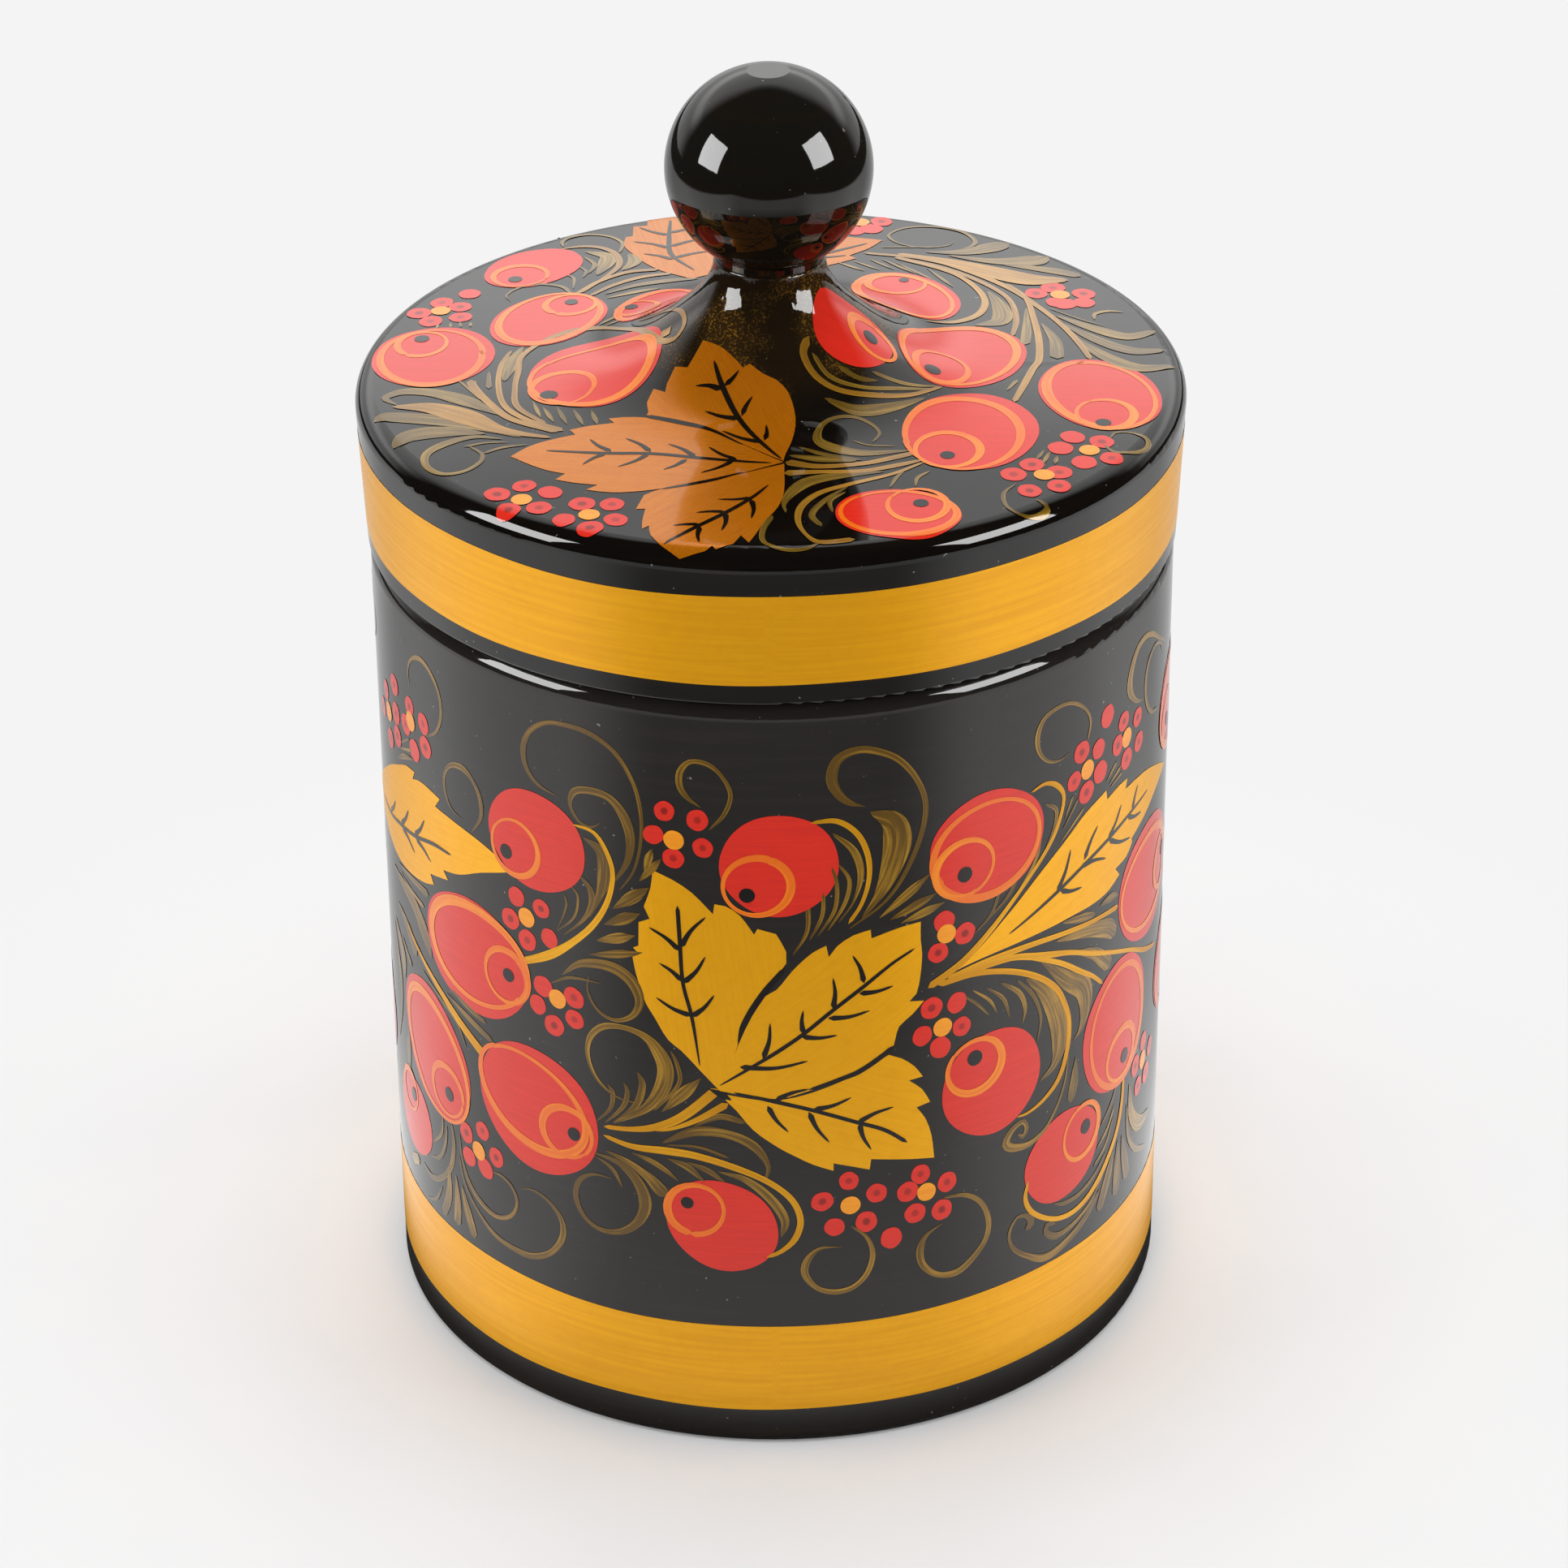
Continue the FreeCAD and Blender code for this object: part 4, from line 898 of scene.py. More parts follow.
LID_GRASS = [
    [(20, 34.5, 0.4), (25, 34.5, 1.6), (28.6, 36.3, 3), (30.9, 37.7, 1.8)],
    [(22.9, 33.4, 0.4), (28.6, 31.6, 1.8), (33.9, 32, 3.2), (35.7, 33.4, 1.4)],
    [(29.6, 30.6, 0.4), (35.7, 28.8, 1.8), (39.6, 27, 1.4)],
    [(27.5, 21.6, 0.4), (28.9, 16.3, 2.2), (28.6, 12, 2.4), (25.4, 10.4, 0.3)],
    [(32.1, 16.3, 0.3), (31.8, 9.1, 1.2), (31.4, 4.9, 1.3)],
    [(33.8, 11.6, 0.3), (35.2, 6.3, 1.5), (35.2, 0.9, 1.8)],
    [(35.7, 14.1, 0.4), (40.4, 10.2, 1.8), (44.3, 8.1, 2), (47.9, 9.9, 1)],
    [(36.4, 11.6, 0.4), (40.7, 6.6, 1.8), (44.6, 3.8, 2), (48.6, 4.1, 1)],
    [(37.5, 7.7, 0.4), (41.1, 2, 2), (45, -1.2, 2.2), (49.6, -0.5, 0.8)],
    [(14.3, 36.1, 0.3), (21.4, 36.3, 0.3)],
    [(35, 16.3, 0.2), (39.3, 12.7, 0.3), (41.8, 11.1, 0.1)],
    [(-22, 27.7, 0.4), (-20.9, 31.6, 2.2), (-20.9, 34.1, 2), (-23.8, 35.9, 0.3)],
    [(-18.8, 29.1, 0.4), (-17.3, 32, 1.8), (-18.1, 34.9, 0.5)],
    [(-23.1, 28.4, 0.3), (-22.4, 31.3, 0.6), (-23.8, 34.1, 0.3)],
    [(-23.8, 27, 0.2), (-23.4, 29.1, 0.5), (-24.5, 31, 0.2)],
    [(-20.9, 21.3, 0.3), (-17, 23.8, 0.9), (-12.7, 25.2, 1.2), (-9.1, 25.6, 0.4)],
    [(-20.6, 19.9, 0.3), (-17, 21.6, 0.8), (-13.8, 22.7, 0.4)],
    [(-24.9, 23.4, 0.2), (-25, 27, 0.4), (-26, 28.4, 0.2)],
    [(-27.4, 41.3, 0.3), (-27, 44.9, 0.2)],
    [(-29.9, -20, 0.4), (-35.9, -16.1, 2.6), (-41.3, -14.3, 2.8), (-46.3, -13.2, 2.4), (-47.8, -13.9, 1.2)],
    [(-34.1, -18.8, 0.4), (-38.4, -17.9, 2.6), (-43.1, -18.6, 3), (-45, -21.3, 1)],
    [(-29, -22.1, 0.3), (-32, -22.7, 0.5), (-34.3, -24.1, 0.5)],
    [(-31.3, -21.3, 0.2), (-34.1, -21.3, 0.3), (-36.6, -22.1, 0.6)],
    [(-34.5, -1.4, 0.3), (-34.3, -6.4, 0.8)],
    [(-38.1, -3.6, 0.3), (-34.9, -9.6, 0.5)],
    [(-30.6, 5.6, 0.3), (-32, 0.2, 2), (-32.5, -4.4, 0.5)],
    [(-19.1, 13.4, 0.8), (-21.3, 10.9, 0.3)],
    [(-18.4, 11.6, 0.6), (-20.6, 10.2, 0.3)],
    [(2.1, -26.6, 0.5), (5.7, -27.5, 1.4), (10, -27.9, 0.5)],
    [(3.2, -24.6, 0.4), (6.4, -26.4, 0.9), (10.7, -27.7, 0.4)],
    [(9.6, -22.9, 0.2), (11.4, -23.9, 0.2), (14.6, -24.1, 0.2)],
    [(8.9, -34.3, 0.3), (6.1, -37.9, 0.8), (4.6, -41.4, 0.8), (5.7, -44.1, 0.7)],
    [(8.6, -35.7, 0.3), (6.8, -37.9, 0.6), (7, -40.7, 0.3)],
    [(15.7, -30, 0.3), (14.6, -32.1, 0.5), (13.8, -34.6, 0.3)],
    [(18.6, -30.4, 0.3), (17.1, -32.1, 0.5), (16.8, -34.3, 0.2)],
    [(5, -11.1, 0.6), (7.1, -13.2, 0.6), (11.1, -13.2, 0.5), (15.7, -11.4, 0.6), (20, -9.6, 0.3)],
    [(8, -11.6, 0.7), (10.7, -12.1, 0.7), (12.9, -11.4, 0.3)],
    [(12.1, -10.4, 0.5), (16.1, -10.2, 0.6), (20.4, -8.8, 0.2)],
    [(6.4, -16.1, 0.4), (10.4, -17, 1.8), (14.3, -15.4, 1.6), (18.6, -12.1, 0.3)],
    [(30, -5.5, 0.6), (28.6, -8.6, 0.3)],
]

LID_LEAFLETS = [
    ((8.6, 30.9), (12.1, 27.9), 0.5), ((10.7, 31.3), (14.1, 28.2), 0.4), ((12.7, 32), (15.9, 28.4), 0.4),
    ((14.3, 32), (18.6, 27), 0.5), ((16.1, 30.9), (21.1, 24.5), 0.5), ((20, 29.1), (23.2, 22.7), 0.5),
    ((-28.8, -10.4), (-27.7, -15), 0.5), ((-27.5, -12.1), (-26.1, -16.3), 0.6),
    ((-25.8, -12.3), (-24.5, -17), 0.6), ((-23.8, -13.2), (-22.5, -17.5), 0.6),
    ((-21.6, -13.8), (-20.8, -17.5), 0.6), ((-41.5, 14), (-41.6, 12.2), 0.4),
    ((-40, 14), (-39.9, 12.2), 0.4), ((-38.8, 14), (-38.6, 12.3), 0.4), ((-37.5, 13.8), (-37.4, 12.4), 0.4),
    ((32.3, -24.6), (31.3, -27.1), 0.5), ((33, -25), (32, -28.2), 0.5), ((33.8, -26.1), (33.4, -28.2), 0.6),
]


# ---------------------------------------------------------------- laying the painting on

PETAL = (1.32, 1.42)                   # a flower petal's half width and half height, mm
PETAL_SWELL = (0.92, 1.08)
PETAL_TILT = 25                        # degrees either way
PETAL_HEARTS = (0.0, 0.8, 1.0)         # how dark a petal's middle may be
HEART = 1.25
LID_PETAL = tuple(half * 1.1 for half in PETAL)
VEIN_WEIGHT = 1.05
SIDE_VEIN = (0.25, 0.5, 0.8)           # a side vein's width at its tip, middle and foot, mm
SIDE_VEIN_BOW = 0.06                   # how far it bows, against its length


def paint_flower(coats, place, flower, petal):
    for u, v in flower[1:]:
        swell = hand.uniform(*PETAL_SWELL)
        tilt = hand.uniform(-PETAL_TILT, PETAL_TILT)
        shape = (u, v, petal[0] * swell, petal[1] * swell, tilt)
        disc(coats["berries"], place, shape, BERRY_LIFT, PETAL_MESH, hand.choice(PETAL_HEARTS), PETAL_WAVER)
    disc(coats["hearts"], place, (*flower[0], HEART, HEART * TALLER, 0), HEART_LIFT, HEART_MESH)


def paint_berry(coats, place, berry):
    body, outer, eye, (u, v, radius) = berry
    disc(coats["berries"], place, body, BERRY_LIFT, BERRY_MESH)
    if outer:
        ring_line(coats["lines"], place, outer, LINE_LIFT)
    ring_line(coats["lines"], place, eye, LINE_LIFT)
    disc(coats["dots"], place, (u, v, radius, radius * TALLER, 0), DOT_LIFT, DOT_MESH)


def paint_leaf(coats, place, leaf, rounded):
    outline, main, sides = leaf
    grain = (main[-1][0] - main[0][0], main[-1][1] - main[0][1])
    fill(coats["leaves"], place, outline, LEAF_LIFT, grain, rounded)
    stroke(coats["dots"], place, [(u, v, width * VEIN_WEIGHT) for u, v, width in main], VEIN_LIFT)
    tip_width, middle_width, foot_width = SIDE_VEIN
    for (a, b), (c, d) in sides:
        bow = SIDE_VEIN_BOW * hand.choice((-1, 1))
        middle = ((a + c) / 2 + bow * (d - b), (b + d) / 2 - bow * (c - a), middle_width)
        stroke(coats["dots"], place, [(a, b, tip_width), middle, (c, d, foot_width)], VEIN_LIFT)


def paint_motifs(coats, place, motifs, petal, rounded):
    """Paints every motif, in the order that the brush lays them."""
    berries, flowers, leaves, gaps, stems, curls, grass, leaflets = motifs
    for leaf in leaves:
        paint_leaf(coats, place, leaf, rounded)
    for points in gaps:
        stroke(coats["dots"], place, points, VEIN_LIFT)
    for points in curls + grass:
        stroke(coats["curls"], place, points, CURL_LIFT)
    for base, tip, width in leaflets:
        leaflet(coats["curls"], place, base, tip, width, CURL_LIFT)
    for points in stems:
        stroke(coats["stems"], place, points, STEM_LIFT)
    for flower in flowers:
        paint_flower(coats, place, flower, petal)
    for berry in berries:
        paint_berry(coats, place, berry)


def make_coats(prefix, body, slot, paints):
    coats = {}
    for name, material in paints.items():
        coats[name] = Coat(f"{prefix}_{name}", body, slot, material)
    return coats


def build_coats(coats):
    for coat in coats.values():
        coat.build()


def paint_jar(paints):
    """The wall's painting, once in front and once behind, with what fills the two gaps between them."""
    coats = make_coats("jar", "jar", "jar_body", paints)
    wall = [(0.0, JAR_RADIUS), (1.0, JAR_RADIUS)]
    motifs = (JAR_BERRIES, JAR_FLOWERS, JAR_LEAVES, JAR_GAPS, JAR_STEMS, JAR_CURLS, JAR_GRASS, JAR_LEAFLETS)
    front = side_place(wall)
    back = side_place(wall, HALF_ROUND)
    paint_motifs(coats, front, motifs, PETAL, False)
    paint_motifs(coats, back, motifs, PETAL, False)
    for berry in SIDE_BERRIES:
        paint_berry(coats, front, berry)
    for curl in SIDE_CURLS:
        stroke(coats["curls"], front, curl, CURL_LIFT)
        stroke(coats["curls"], back, curl, CURL_LIFT)
    band(coats["bands"], front, JAR_BAND, LEAF_LIFT)
    build_coats(coats)


def paint_lid(paints):
    """The lid's painting seen from above, and the gold band on its skirt."""
    coats = make_coats("lid", "lid", "lid", paints)
    profile = outer_profile("lid")
    motifs = (LID_BERRIES, LID_FLOWERS, LID_LEAVES, LID_GAPS, LID_STEMS, LID_CURLS, LID_GRASS, LID_LEAFLETS)
    paint_motifs(coats, plan_place(profile), motifs, LID_PETAL, True)
    widest_radius, widest_height = profile[-1]
    skirt = [skirt_foot("lid"), (widest_height, widest_radius)]
    band(coats["bands"], side_place(skirt), LID_BAND, LEAF_LIFT)
    build_coats(coats)


# ---------------------------------------------------------------- shader nodes

def colour(triple):
    """A display colour of 0 to 255 as the linear colour that a shader takes."""
    linear = []
    for value in triple:
        part = value / 255
        linear.append(part / 12.92 if part <= 0.04045 else ((part + 0.055) / 1.055) ** 2.4)
    return (*linear, 1.0)


def grey(level):
    """A grey of a given linear brightness."""
    return (level, level, level, 1.0)


def put(socket, value):
    """Sets a socket to a value, or links it to another socket."""
    if isinstance(value, bpy.types.NodeSocket):
        socket.id_data.links.new(value, socket)
    else:
        socket.default_value = value


def maths(tree, operation, first, second=0.0):
    """A sum or other operation on two values; a sum is kept within 0 to 1."""
    node = tree.nodes.new("ShaderNodeMath")
    node.operation = operation
    node.use_clamp = operation == "ADD"
    put(node.inputs[0], first)
    put(node.inputs[1], second)
    return node.outputs[0]


def times(tree, first, second):
    return maths(tree, "MULTIPLY", first, second)


def stretch(tree, vector, scale):
    node = tree.nodes.new("ShaderNodeMapping")
    put(node.inputs["Vector"], vector)
    node.inputs["Scale"].default_value = scale
    return node.outputs["Vector"]


def noise(tree, vector, scale, detail):
    node = tree.nodes.new("ShaderNodeTexNoise")
    put(node.inputs["Vector"], vector)
    node.inputs["Scale"].default_value = scale
    node.inputs["Detail"].default_value = detail
    return node.outputs["Fac"]


def ramp(tree, value, low, high, start=0.0, end=1.0):
    """A smooth step from start, where the value is low, to end, where it is high."""
    node = tree.nodes.new("ShaderNodeMapRange")
    node.interpolation_type = "SMOOTHSTEP"
    put(node.inputs["Value"], value)
    node.inputs["From Min"].default_value = low
    node.inputs["From Max"].default_value = high
    node.inputs["To Min"].default_value = start
    node.inputs["To Max"].default_value = end
    return node.outputs["Result"]


def blend(tree, factor, first, second):
    node = tree.nodes.new("ShaderNodeMix")
    node.data_type = "RGBA"
    put(node.inputs["Factor"], factor)
    put(node.inputs[6], first)
    put(node.inputs[7], second)
    return node.outputs[2]


def bump(tree, height, strength):
    node = tree.nodes.new("ShaderNodeBump")
    node.inputs["Strength"].default_value = strength
    node.inputs["Distance"].default_value = RELIEF
    put(node.inputs["Height"], height)
    return node.outputs["Normal"]


def object_spot(tree):
    return tree.nodes.new("ShaderNodeTexCoord").outputs["Object"]


def split(tree, vector):
    """The X, Y and Z of a vector."""
    node = tree.nodes.new("ShaderNodeSeparateXYZ")
    put(node.inputs[0], vector)
    return node.outputs["X"], node.outputs["Y"], node.outputs["Z"]


# ---------------------------------------------------------------- materials

# Display colours, 0 to 255.
BLACK, DARK_BROWN = (12, 9, 7), (24, 17, 10)
# The jar's wall gets a lighter copy of the lid's black lacquer: the extra lightness is a painted reflection
# of the pale floor.
LIT_WALL_BLACK, LIT_WALL_BROWN = (33, 30, 28), (40, 36, 32)
KNOB_BLACK = (19, 18, 14)
NECK_BROWN, SPARKLE = (46, 32, 12), (190, 138, 44)
GOLD_LIGHT, GOLD_DARK = (238, 170, 20), (218, 149, 14)
STEM_LIGHT, STEM_DARK = (230, 168, 30), (196, 134, 20)
CURL_LIGHT, CURL_DARK = (170, 128, 36), (94, 68, 16)
LID_GOLD_LIGHT, LID_GOLD_DARK = (198, 114, 12), (174, 92, 8)
LID_STEM_LIGHT, LID_STEM_DARK = (184, 132, 36), (138, 96, 26)
LID_CURL_LIGHT, LID_CURL_DARK = (158, 124, 40), (100, 76, 22)
BERRY_RED, BERRY_DEEP, SMUDGE = (219, 46, 30), (205, 40, 28), (120, 20, 16)
LINE_LIGHT, LINE_DARK = (240, 138, 24), (230, 108, 24)
HEART_LIGHT, HEART_DARK = (243, 158, 30), (230, 132, 26)
INSIDE_GOLD, INSIDE_AMBER = (196, 124, 26), (150, 84, 18)
DUST = (150, 146, 140)

# The clear coat and its surface; patterns are in repeats per metre.
COAT_IOR = 1.43
COAT_ROUGHNESS = 0.04
RELIEF = 0.00003                       # depth of the finest relief, metres
RIDGE_PATTERN, RIDGE_DEPTH = (90.0, 90.0, 1500.0), 0.3
SWELL_PATTERN, SWELL_DEPTH = 160.0, 0.6
COAT_BUMP = 0.45
DUST_PATTERN, DUST_SPARSE, DUST_SHOWN = 1500.0, (0.775, 0.80), 0.55

# Brushed paint.
GOLD_METAL = 0.45
LID_GOLD_METAL = 0.42
CURL_METAL = 0.15
GOLD_COAT = 0.45                       # the jar's gold shows little of the pale floor in its lacquer
LID_LEAF_COAT = 0.7
ALONG_STREAKS, ACROSS_STREAKS = 0.1, 2.6   # repeats per mm along and across the brush
BAND_ALONG, BAND_ACROSS = 0.05, 1.6
STREAK_EDGE = (0.3, 0.7)
SMUDGE_TONES = (0.1, 1.3)              # tones between which a petal's middle turns dark
MOTTLE_PATTERN, MOTTLE_EDGE, MOTTLE_SHOWN = 700.0, (0.45, 0.75), 0.22
MATT = 0.33                            # roughness under the coat, and how deep the streaks are
MATT_SPREAD = 0.15
MATT_EDGE = (0.2, 0.8)

# Black lacquer on turned wood.
RING_PATTERN = (40.0, 40.0, 900.0)
RING_EDGE = (0.45, 0.75)
RING_SHOWN = 0.6
GILT_EDGE = (0.3, 0.7)                 # where its rings turn from gold to amber
LACQUER_ROUGHNESS = (0.35, 0.5)
GRAIN_PATTERN, GRAIN_SPARSE = 3200.0, (0.53, 0.66)
PATCH_PATTERN, PATCH_EDGE = 120.0, (0.40, 0.62)
NECK_HEIGHT, NECK_SOFT = 0.1275, 0.004     # gold dust starts at this height, over this stretch, metres
NECK_RADIUS, NECK_CORE = 0.024, 0.6        # within this radius, in full within this part of it
LEAST_STAIN = 0.35
SPARKLE_SHOWN = 0.3

# Where the gilding inside reaches, metres.
JAR_GILT_RADIUS = 0.0455               # just outside the jar's inner wall,
JAR_GILT_FOOT = 0.004                  # above the middle of its bottom,
RIM_GILT_RADIUS = 0.0475               # and round the rim that the lid covers
LID_GILT_RADIUS = 0.0478
LID_GILT_DEPTH = 0.0145                # from the skirt's lower edge
ANY_HEIGHT = 0.2                       # higher than the canister


def glossy_material(name):
    """A material under one coat of clear lacquer."""
    material = bpy.data.materials.new(name)
    material.use_nodes = True
    tree = material.node_tree
    shader = tree.nodes["Principled BSDF"]
    shader.inputs["Coat Weight"].default_value = 1.0
    shader.inputs["Coat Roughness"].default_value = COAT_ROUGHNESS
    shader.inputs["Coat IOR"].default_value = COAT_IOR
    shader.inputs["Specular IOR Level"].default_value = 0.0
    ridges = noise(tree, stretch(tree, object_spot(tree), RIDGE_PATTERN), 1.0, 2.0)
    swell = noise(tree, object_spot(tree), SWELL_PATTERN, 1.0)
    height = maths(tree, "ADD", times(tree, ridges, RIDGE_DEPTH), times(tree, swell, SWELL_DEPTH))
    put(shader.inputs["Coat Normal"], bump(tree, height, COAT_BUMP))
    return material, tree, shader


def dusted(tree, base):
    """Adds the few pale specks caught in the lacquer."""
    specks = ramp(tree, noise(tree, object_spot(tree), DUST_PATTERN, 1.0), *DUST_SPARSE)
    return blend(tree, times(tree, specks, DUST_SHOWN), base, colour(DUST))


def brushed_paint(name, light, dark, streaks, metallic=0.0, pattern=(ALONG_STREAKS, ACROSS_STREAKS),
                  heart=None, matt=MATT, clear=1.0):
    """Opaque paint laid with a brush: streaks run along the stroke, and the tone drifts between strokes."""
    material, tree, shader = glossy_material(name)
    uv = tree.nodes.new("ShaderNodeUVMap")
    uv.uv_map = "brush"
    fibres = noise(tree, stretch(tree, uv.outputs["UV"], (*pattern, 1.0)), 1.0, 4.0)
    tone = tree.nodes.new("ShaderNodeAttribute")
    tone.attribute_name = "tone"
    streaked = times(tree, ramp(tree, fibres, *STREAK_EDGE), streaks)
    if heart:
        mixed = blend(tree, streaked, colour(light), colour(dark))
        mixed = blend(tree, ramp(tree, tone.outputs["Fac"], *SMUDGE_TONES), mixed, colour(heart))
    else:
        mixed = blend(tree, maths(tree, "ADD", streaked, tone.outputs["Fac"]), colour(light), colour(dark))
    mottle = noise(tree, object_spot(tree), MOTTLE_PATTERN, 4.0)
    mixed = blend(tree, ramp(tree, mottle, *MOTTLE_EDGE, 0.0, MOTTLE_SHOWN), mixed, colour(dark))
    put(shader.inputs["Base Color"], mixed)
    put(shader.inputs["Roughness"], ramp(tree, fibres, *MATT_EDGE, matt, matt + MATT_SPREAD))
    put(shader.inputs["Normal"], bump(tree, fibres, matt))
    shader.inputs["Metallic"].default_value = metallic
    shader.inputs["Coat Weight"].default_value = clear
    return material


def from_axis(tree, x, y):
    """How far a point is from the turning axis."""
    squares = maths(tree, "POWER", x, 2.0)
    squares = maths(tree, "ADD", squares, maths(tree, "POWER", y, 2.0))
    return maths(tree, "SQRT", squares)


def neck_dust(tree, base, spot, radius, height):
    """Adds the brown stain and the gold dust round the lid's neck."""
    grains = ramp(tree, noise(tree, spot, GRAIN_PATTERN, 2.0), *GRAIN_SPARSE)
    patches = ramp(tree, noise(tree, spot, PATCH_PATTERN, 2.0), *PATCH_EDGE)
    near = ramp(tree, radius, NECK_RADIUS, NECK_RADIUS * NECK_CORE)
    above = ramp(tree, height, NECK_HEIGHT, NECK_HEIGHT + NECK_SOFT)
    gold_dust = times(tree, times(tree, grains, patches), times(tree, near, above))
    stain = times(tree, ramp(tree, patches, 0.0, 1.0, LEAST_STAIN, 1.0), times(tree, near, above))
    base = blend(tree, stain, base, colour(NECK_BROWN))
    return blend(tree, times(tree, gold_dust, SPARKLE_SHOWN), base, colour(SPARKLE))


def turned_lacquer(name, dark, brown, gilded=(), dusty=False):
    """Black lacquer on turned wood, with faint rings; gilded lists the (radius, lowest, highest) of gilded
    stretches in metres, and dusty adds the gold dust round the neck."""
    material, tree, shader = glossy_material(name)
    spot = object_spot(tree)
    rings = noise(tree, stretch(tree, spot, RING_PATTERN), 1.0, 3.0)
    base = blend(tree, ramp(tree, rings, *RING_EDGE, 0.0, RING_SHOWN), colour(dark), colour(brown))
    base = dusted(tree, base)
    x, y, height = split(tree, spot)
    radius = from_axis(tree, x, y)
    if dusty:
        base = neck_dust(tree, base, spot, radius, height)
    gilding = blend(tree, ramp(tree, rings, *GILT_EDGE), colour(INSIDE_GOLD), colour(INSIDE_AMBER))
    for reach, lowest, highest in gilded:
        within = maths(tree, "LESS_THAN", radius, reach)
        over = maths(tree, "GREATER_THAN", height, lowest)
        under = maths(tree, "LESS_THAN", height, highest)
        base = blend(tree, times(tree, within, times(tree, over, under)), base, gilding)
    put(shader.inputs["Base Color"], base)
    put(shader.inputs["Roughness"], ramp(tree, rings, *GILT_EDGE, *LACQUER_ROUGHNESS))
    return material


def dress(node, material):
    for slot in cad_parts[node].material_slots:
        slot.material = material


def dress_wood():
    """Gives the three turned pieces their lacquer."""
    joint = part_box("lid")[0].z
    jar_gilt = [(JAR_GILT_RADIUS, JAR_GILT_FOOT, ANY_HEIGHT), (RIM_GILT_RADIUS, joint, ANY_HEIGHT)]
    lid_gilt = [(LID_GILT_RADIUS, 0.0, joint + LID_GILT_DEPTH)]
    # The jar's lacquer takes the lighter black, which holds a painted reflection of the floor.
    dress("jar_body", turned_lacquer("jar_lacquer", LIT_WALL_BLACK, LIT_WALL_BROWN, jar_gilt))
    dress("lid", turned_lacquer("lid_lacquer", BLACK, DARK_BROWN, lid_gilt, True))
    dress("knob", turned_lacquer("knob_lacquer", KNOB_BLACK, DARK_BROWN))


def jar_paints():
    return {
        "leaves": brushed_paint("leaf_gold", GOLD_LIGHT, GOLD_DARK, streaks=0.25, metallic=GOLD_METAL,
                                clear=GOLD_COAT),
        "bands": brushed_paint("band_gold", GOLD_LIGHT, GOLD_DARK, streaks=0.45, metallic=GOLD_METAL,
                               pattern=(BAND_ALONG, BAND_ACROSS), clear=GOLD_COAT),
        "stems": brushed_paint("stem_gold", STEM_LIGHT, STEM_DARK, streaks=0.6, metallic=GOLD_METAL,
                               clear=GOLD_COAT),
        "curls": brushed_paint("curl_gold", CURL_LIGHT, CURL_DARK, streaks=1.0, metallic=CURL_METAL),
        "berries": brushed_paint("berry_red", BERRY_RED, BERRY_DEEP, streaks=0.6, heart=SMUDGE),
        "lines": brushed_paint("line_orange", LINE_LIGHT, LINE_DARK, streaks=0.8),
        "hearts": brushed_paint("heart_yellow", HEART_LIGHT, HEART_DARK, streaks=0.6),
        "dots": brushed_paint("vein_black", BLACK, DARK_BROWN, streaks=0.6),
    }


def lid_paints(paints):
    """The jar's paints, with the lid's own darker golds in place of three of them."""
    leaf = brushed_paint("lid_leaf_gold", LID_GOLD_LIGHT, LID_GOLD_DARK, streaks=0.3,
                         metallic=LID_GOLD_METAL, matt=0.18, clear=LID_LEAF_COAT)
    stem = brushed_paint("lid_stem_gold", LID_STEM_LIGHT, LID_STEM_DARK, streaks=0.7,
                         metallic=GOLD_METAL, matt=0.25)
    curl = brushed_paint("lid_curl_gold", LID_CURL_LIGHT, LID_CURL_DARK, streaks=1.0,
                         metallic=GOLD_METAL, matt=0.3)
    return {**paints, "leaves": leaf, "stems": stem, "curls": curl}


# ---------------------------------------------------------------- studio

TARGET_HEIGHT = 0.075
SOFTBOX_DISTANCE = 1.15
SOFTBOX_SIZE = 0.56
SOFTBOX_POWER = 15.0
# Directions of the lights that only reflections see.
SOFTBOXES = {"softbox_left": (-0.873, -0.279, 0.399), "softbox_right": (0.799, -0.369, 0.475)}
# Place, size and power of the lights that reflections don't see.
FILLS = {
    "fill_front": ((0.0, -1.3, 0.75), 1.2, 7.0),
    "fill_back": ((0.0, 1.4, 1.0), 1.4, 6.0),
    "fill_top": ((0.0, -0.1, 1.8), 1.4, 15.0),
    "fill_left": ((-1.2, -0.1, 0.6), 1.0, 8.8),
    "fill_right": ((1.2, -0.1, 0.6), 1.0, 8.8),
}

# The backdrop, as reflections see it: where it lies in a ray's direction, and how bright it is.
BEHIND = (0.30, 0.60)                  # along Y, it starts over this stretch,
BELOW_TOP = (0.93, 0.80)               # and ends upwards over this one
BACKDROP_FOOT = 0.9                    # its glow near the horizon,
BACKDROP_BAND = 2.0                    # in the bright band that the lid's far half mirrors,
BACKDROP_GLOW = 1.25                   # and above that band
BAND_RISE = (0.20, 0.37)
BAND_FALL = (0.40, 0.49)
ROOM_GLOW = 0.03

# The floor. Distances are from the turning axis, in metres.
STAGE_REACH = 3.0
FLOOR_WHITE = 0.905
FLOOR_GREYS = (0.76, 0.76, 0.77, 1.0), (0.78, 0.78, 0.78, 1.0)
FLOOR_PATTERN, FLOOR_EDGE = 30.0, (0.3, 0.7)
FLOOR_ROUGHNESS, FLOOR_SHINE = 0.7, 0.1
FLOOR_FADE = (0.02, 0.165)             # it fades to white over this stretch
WHITE_HALF_WIDTH = 0.46                # beyond these, reflections see a dim room
WHITE_FRONT = 0.575
WHITE_SOFT = 0.1
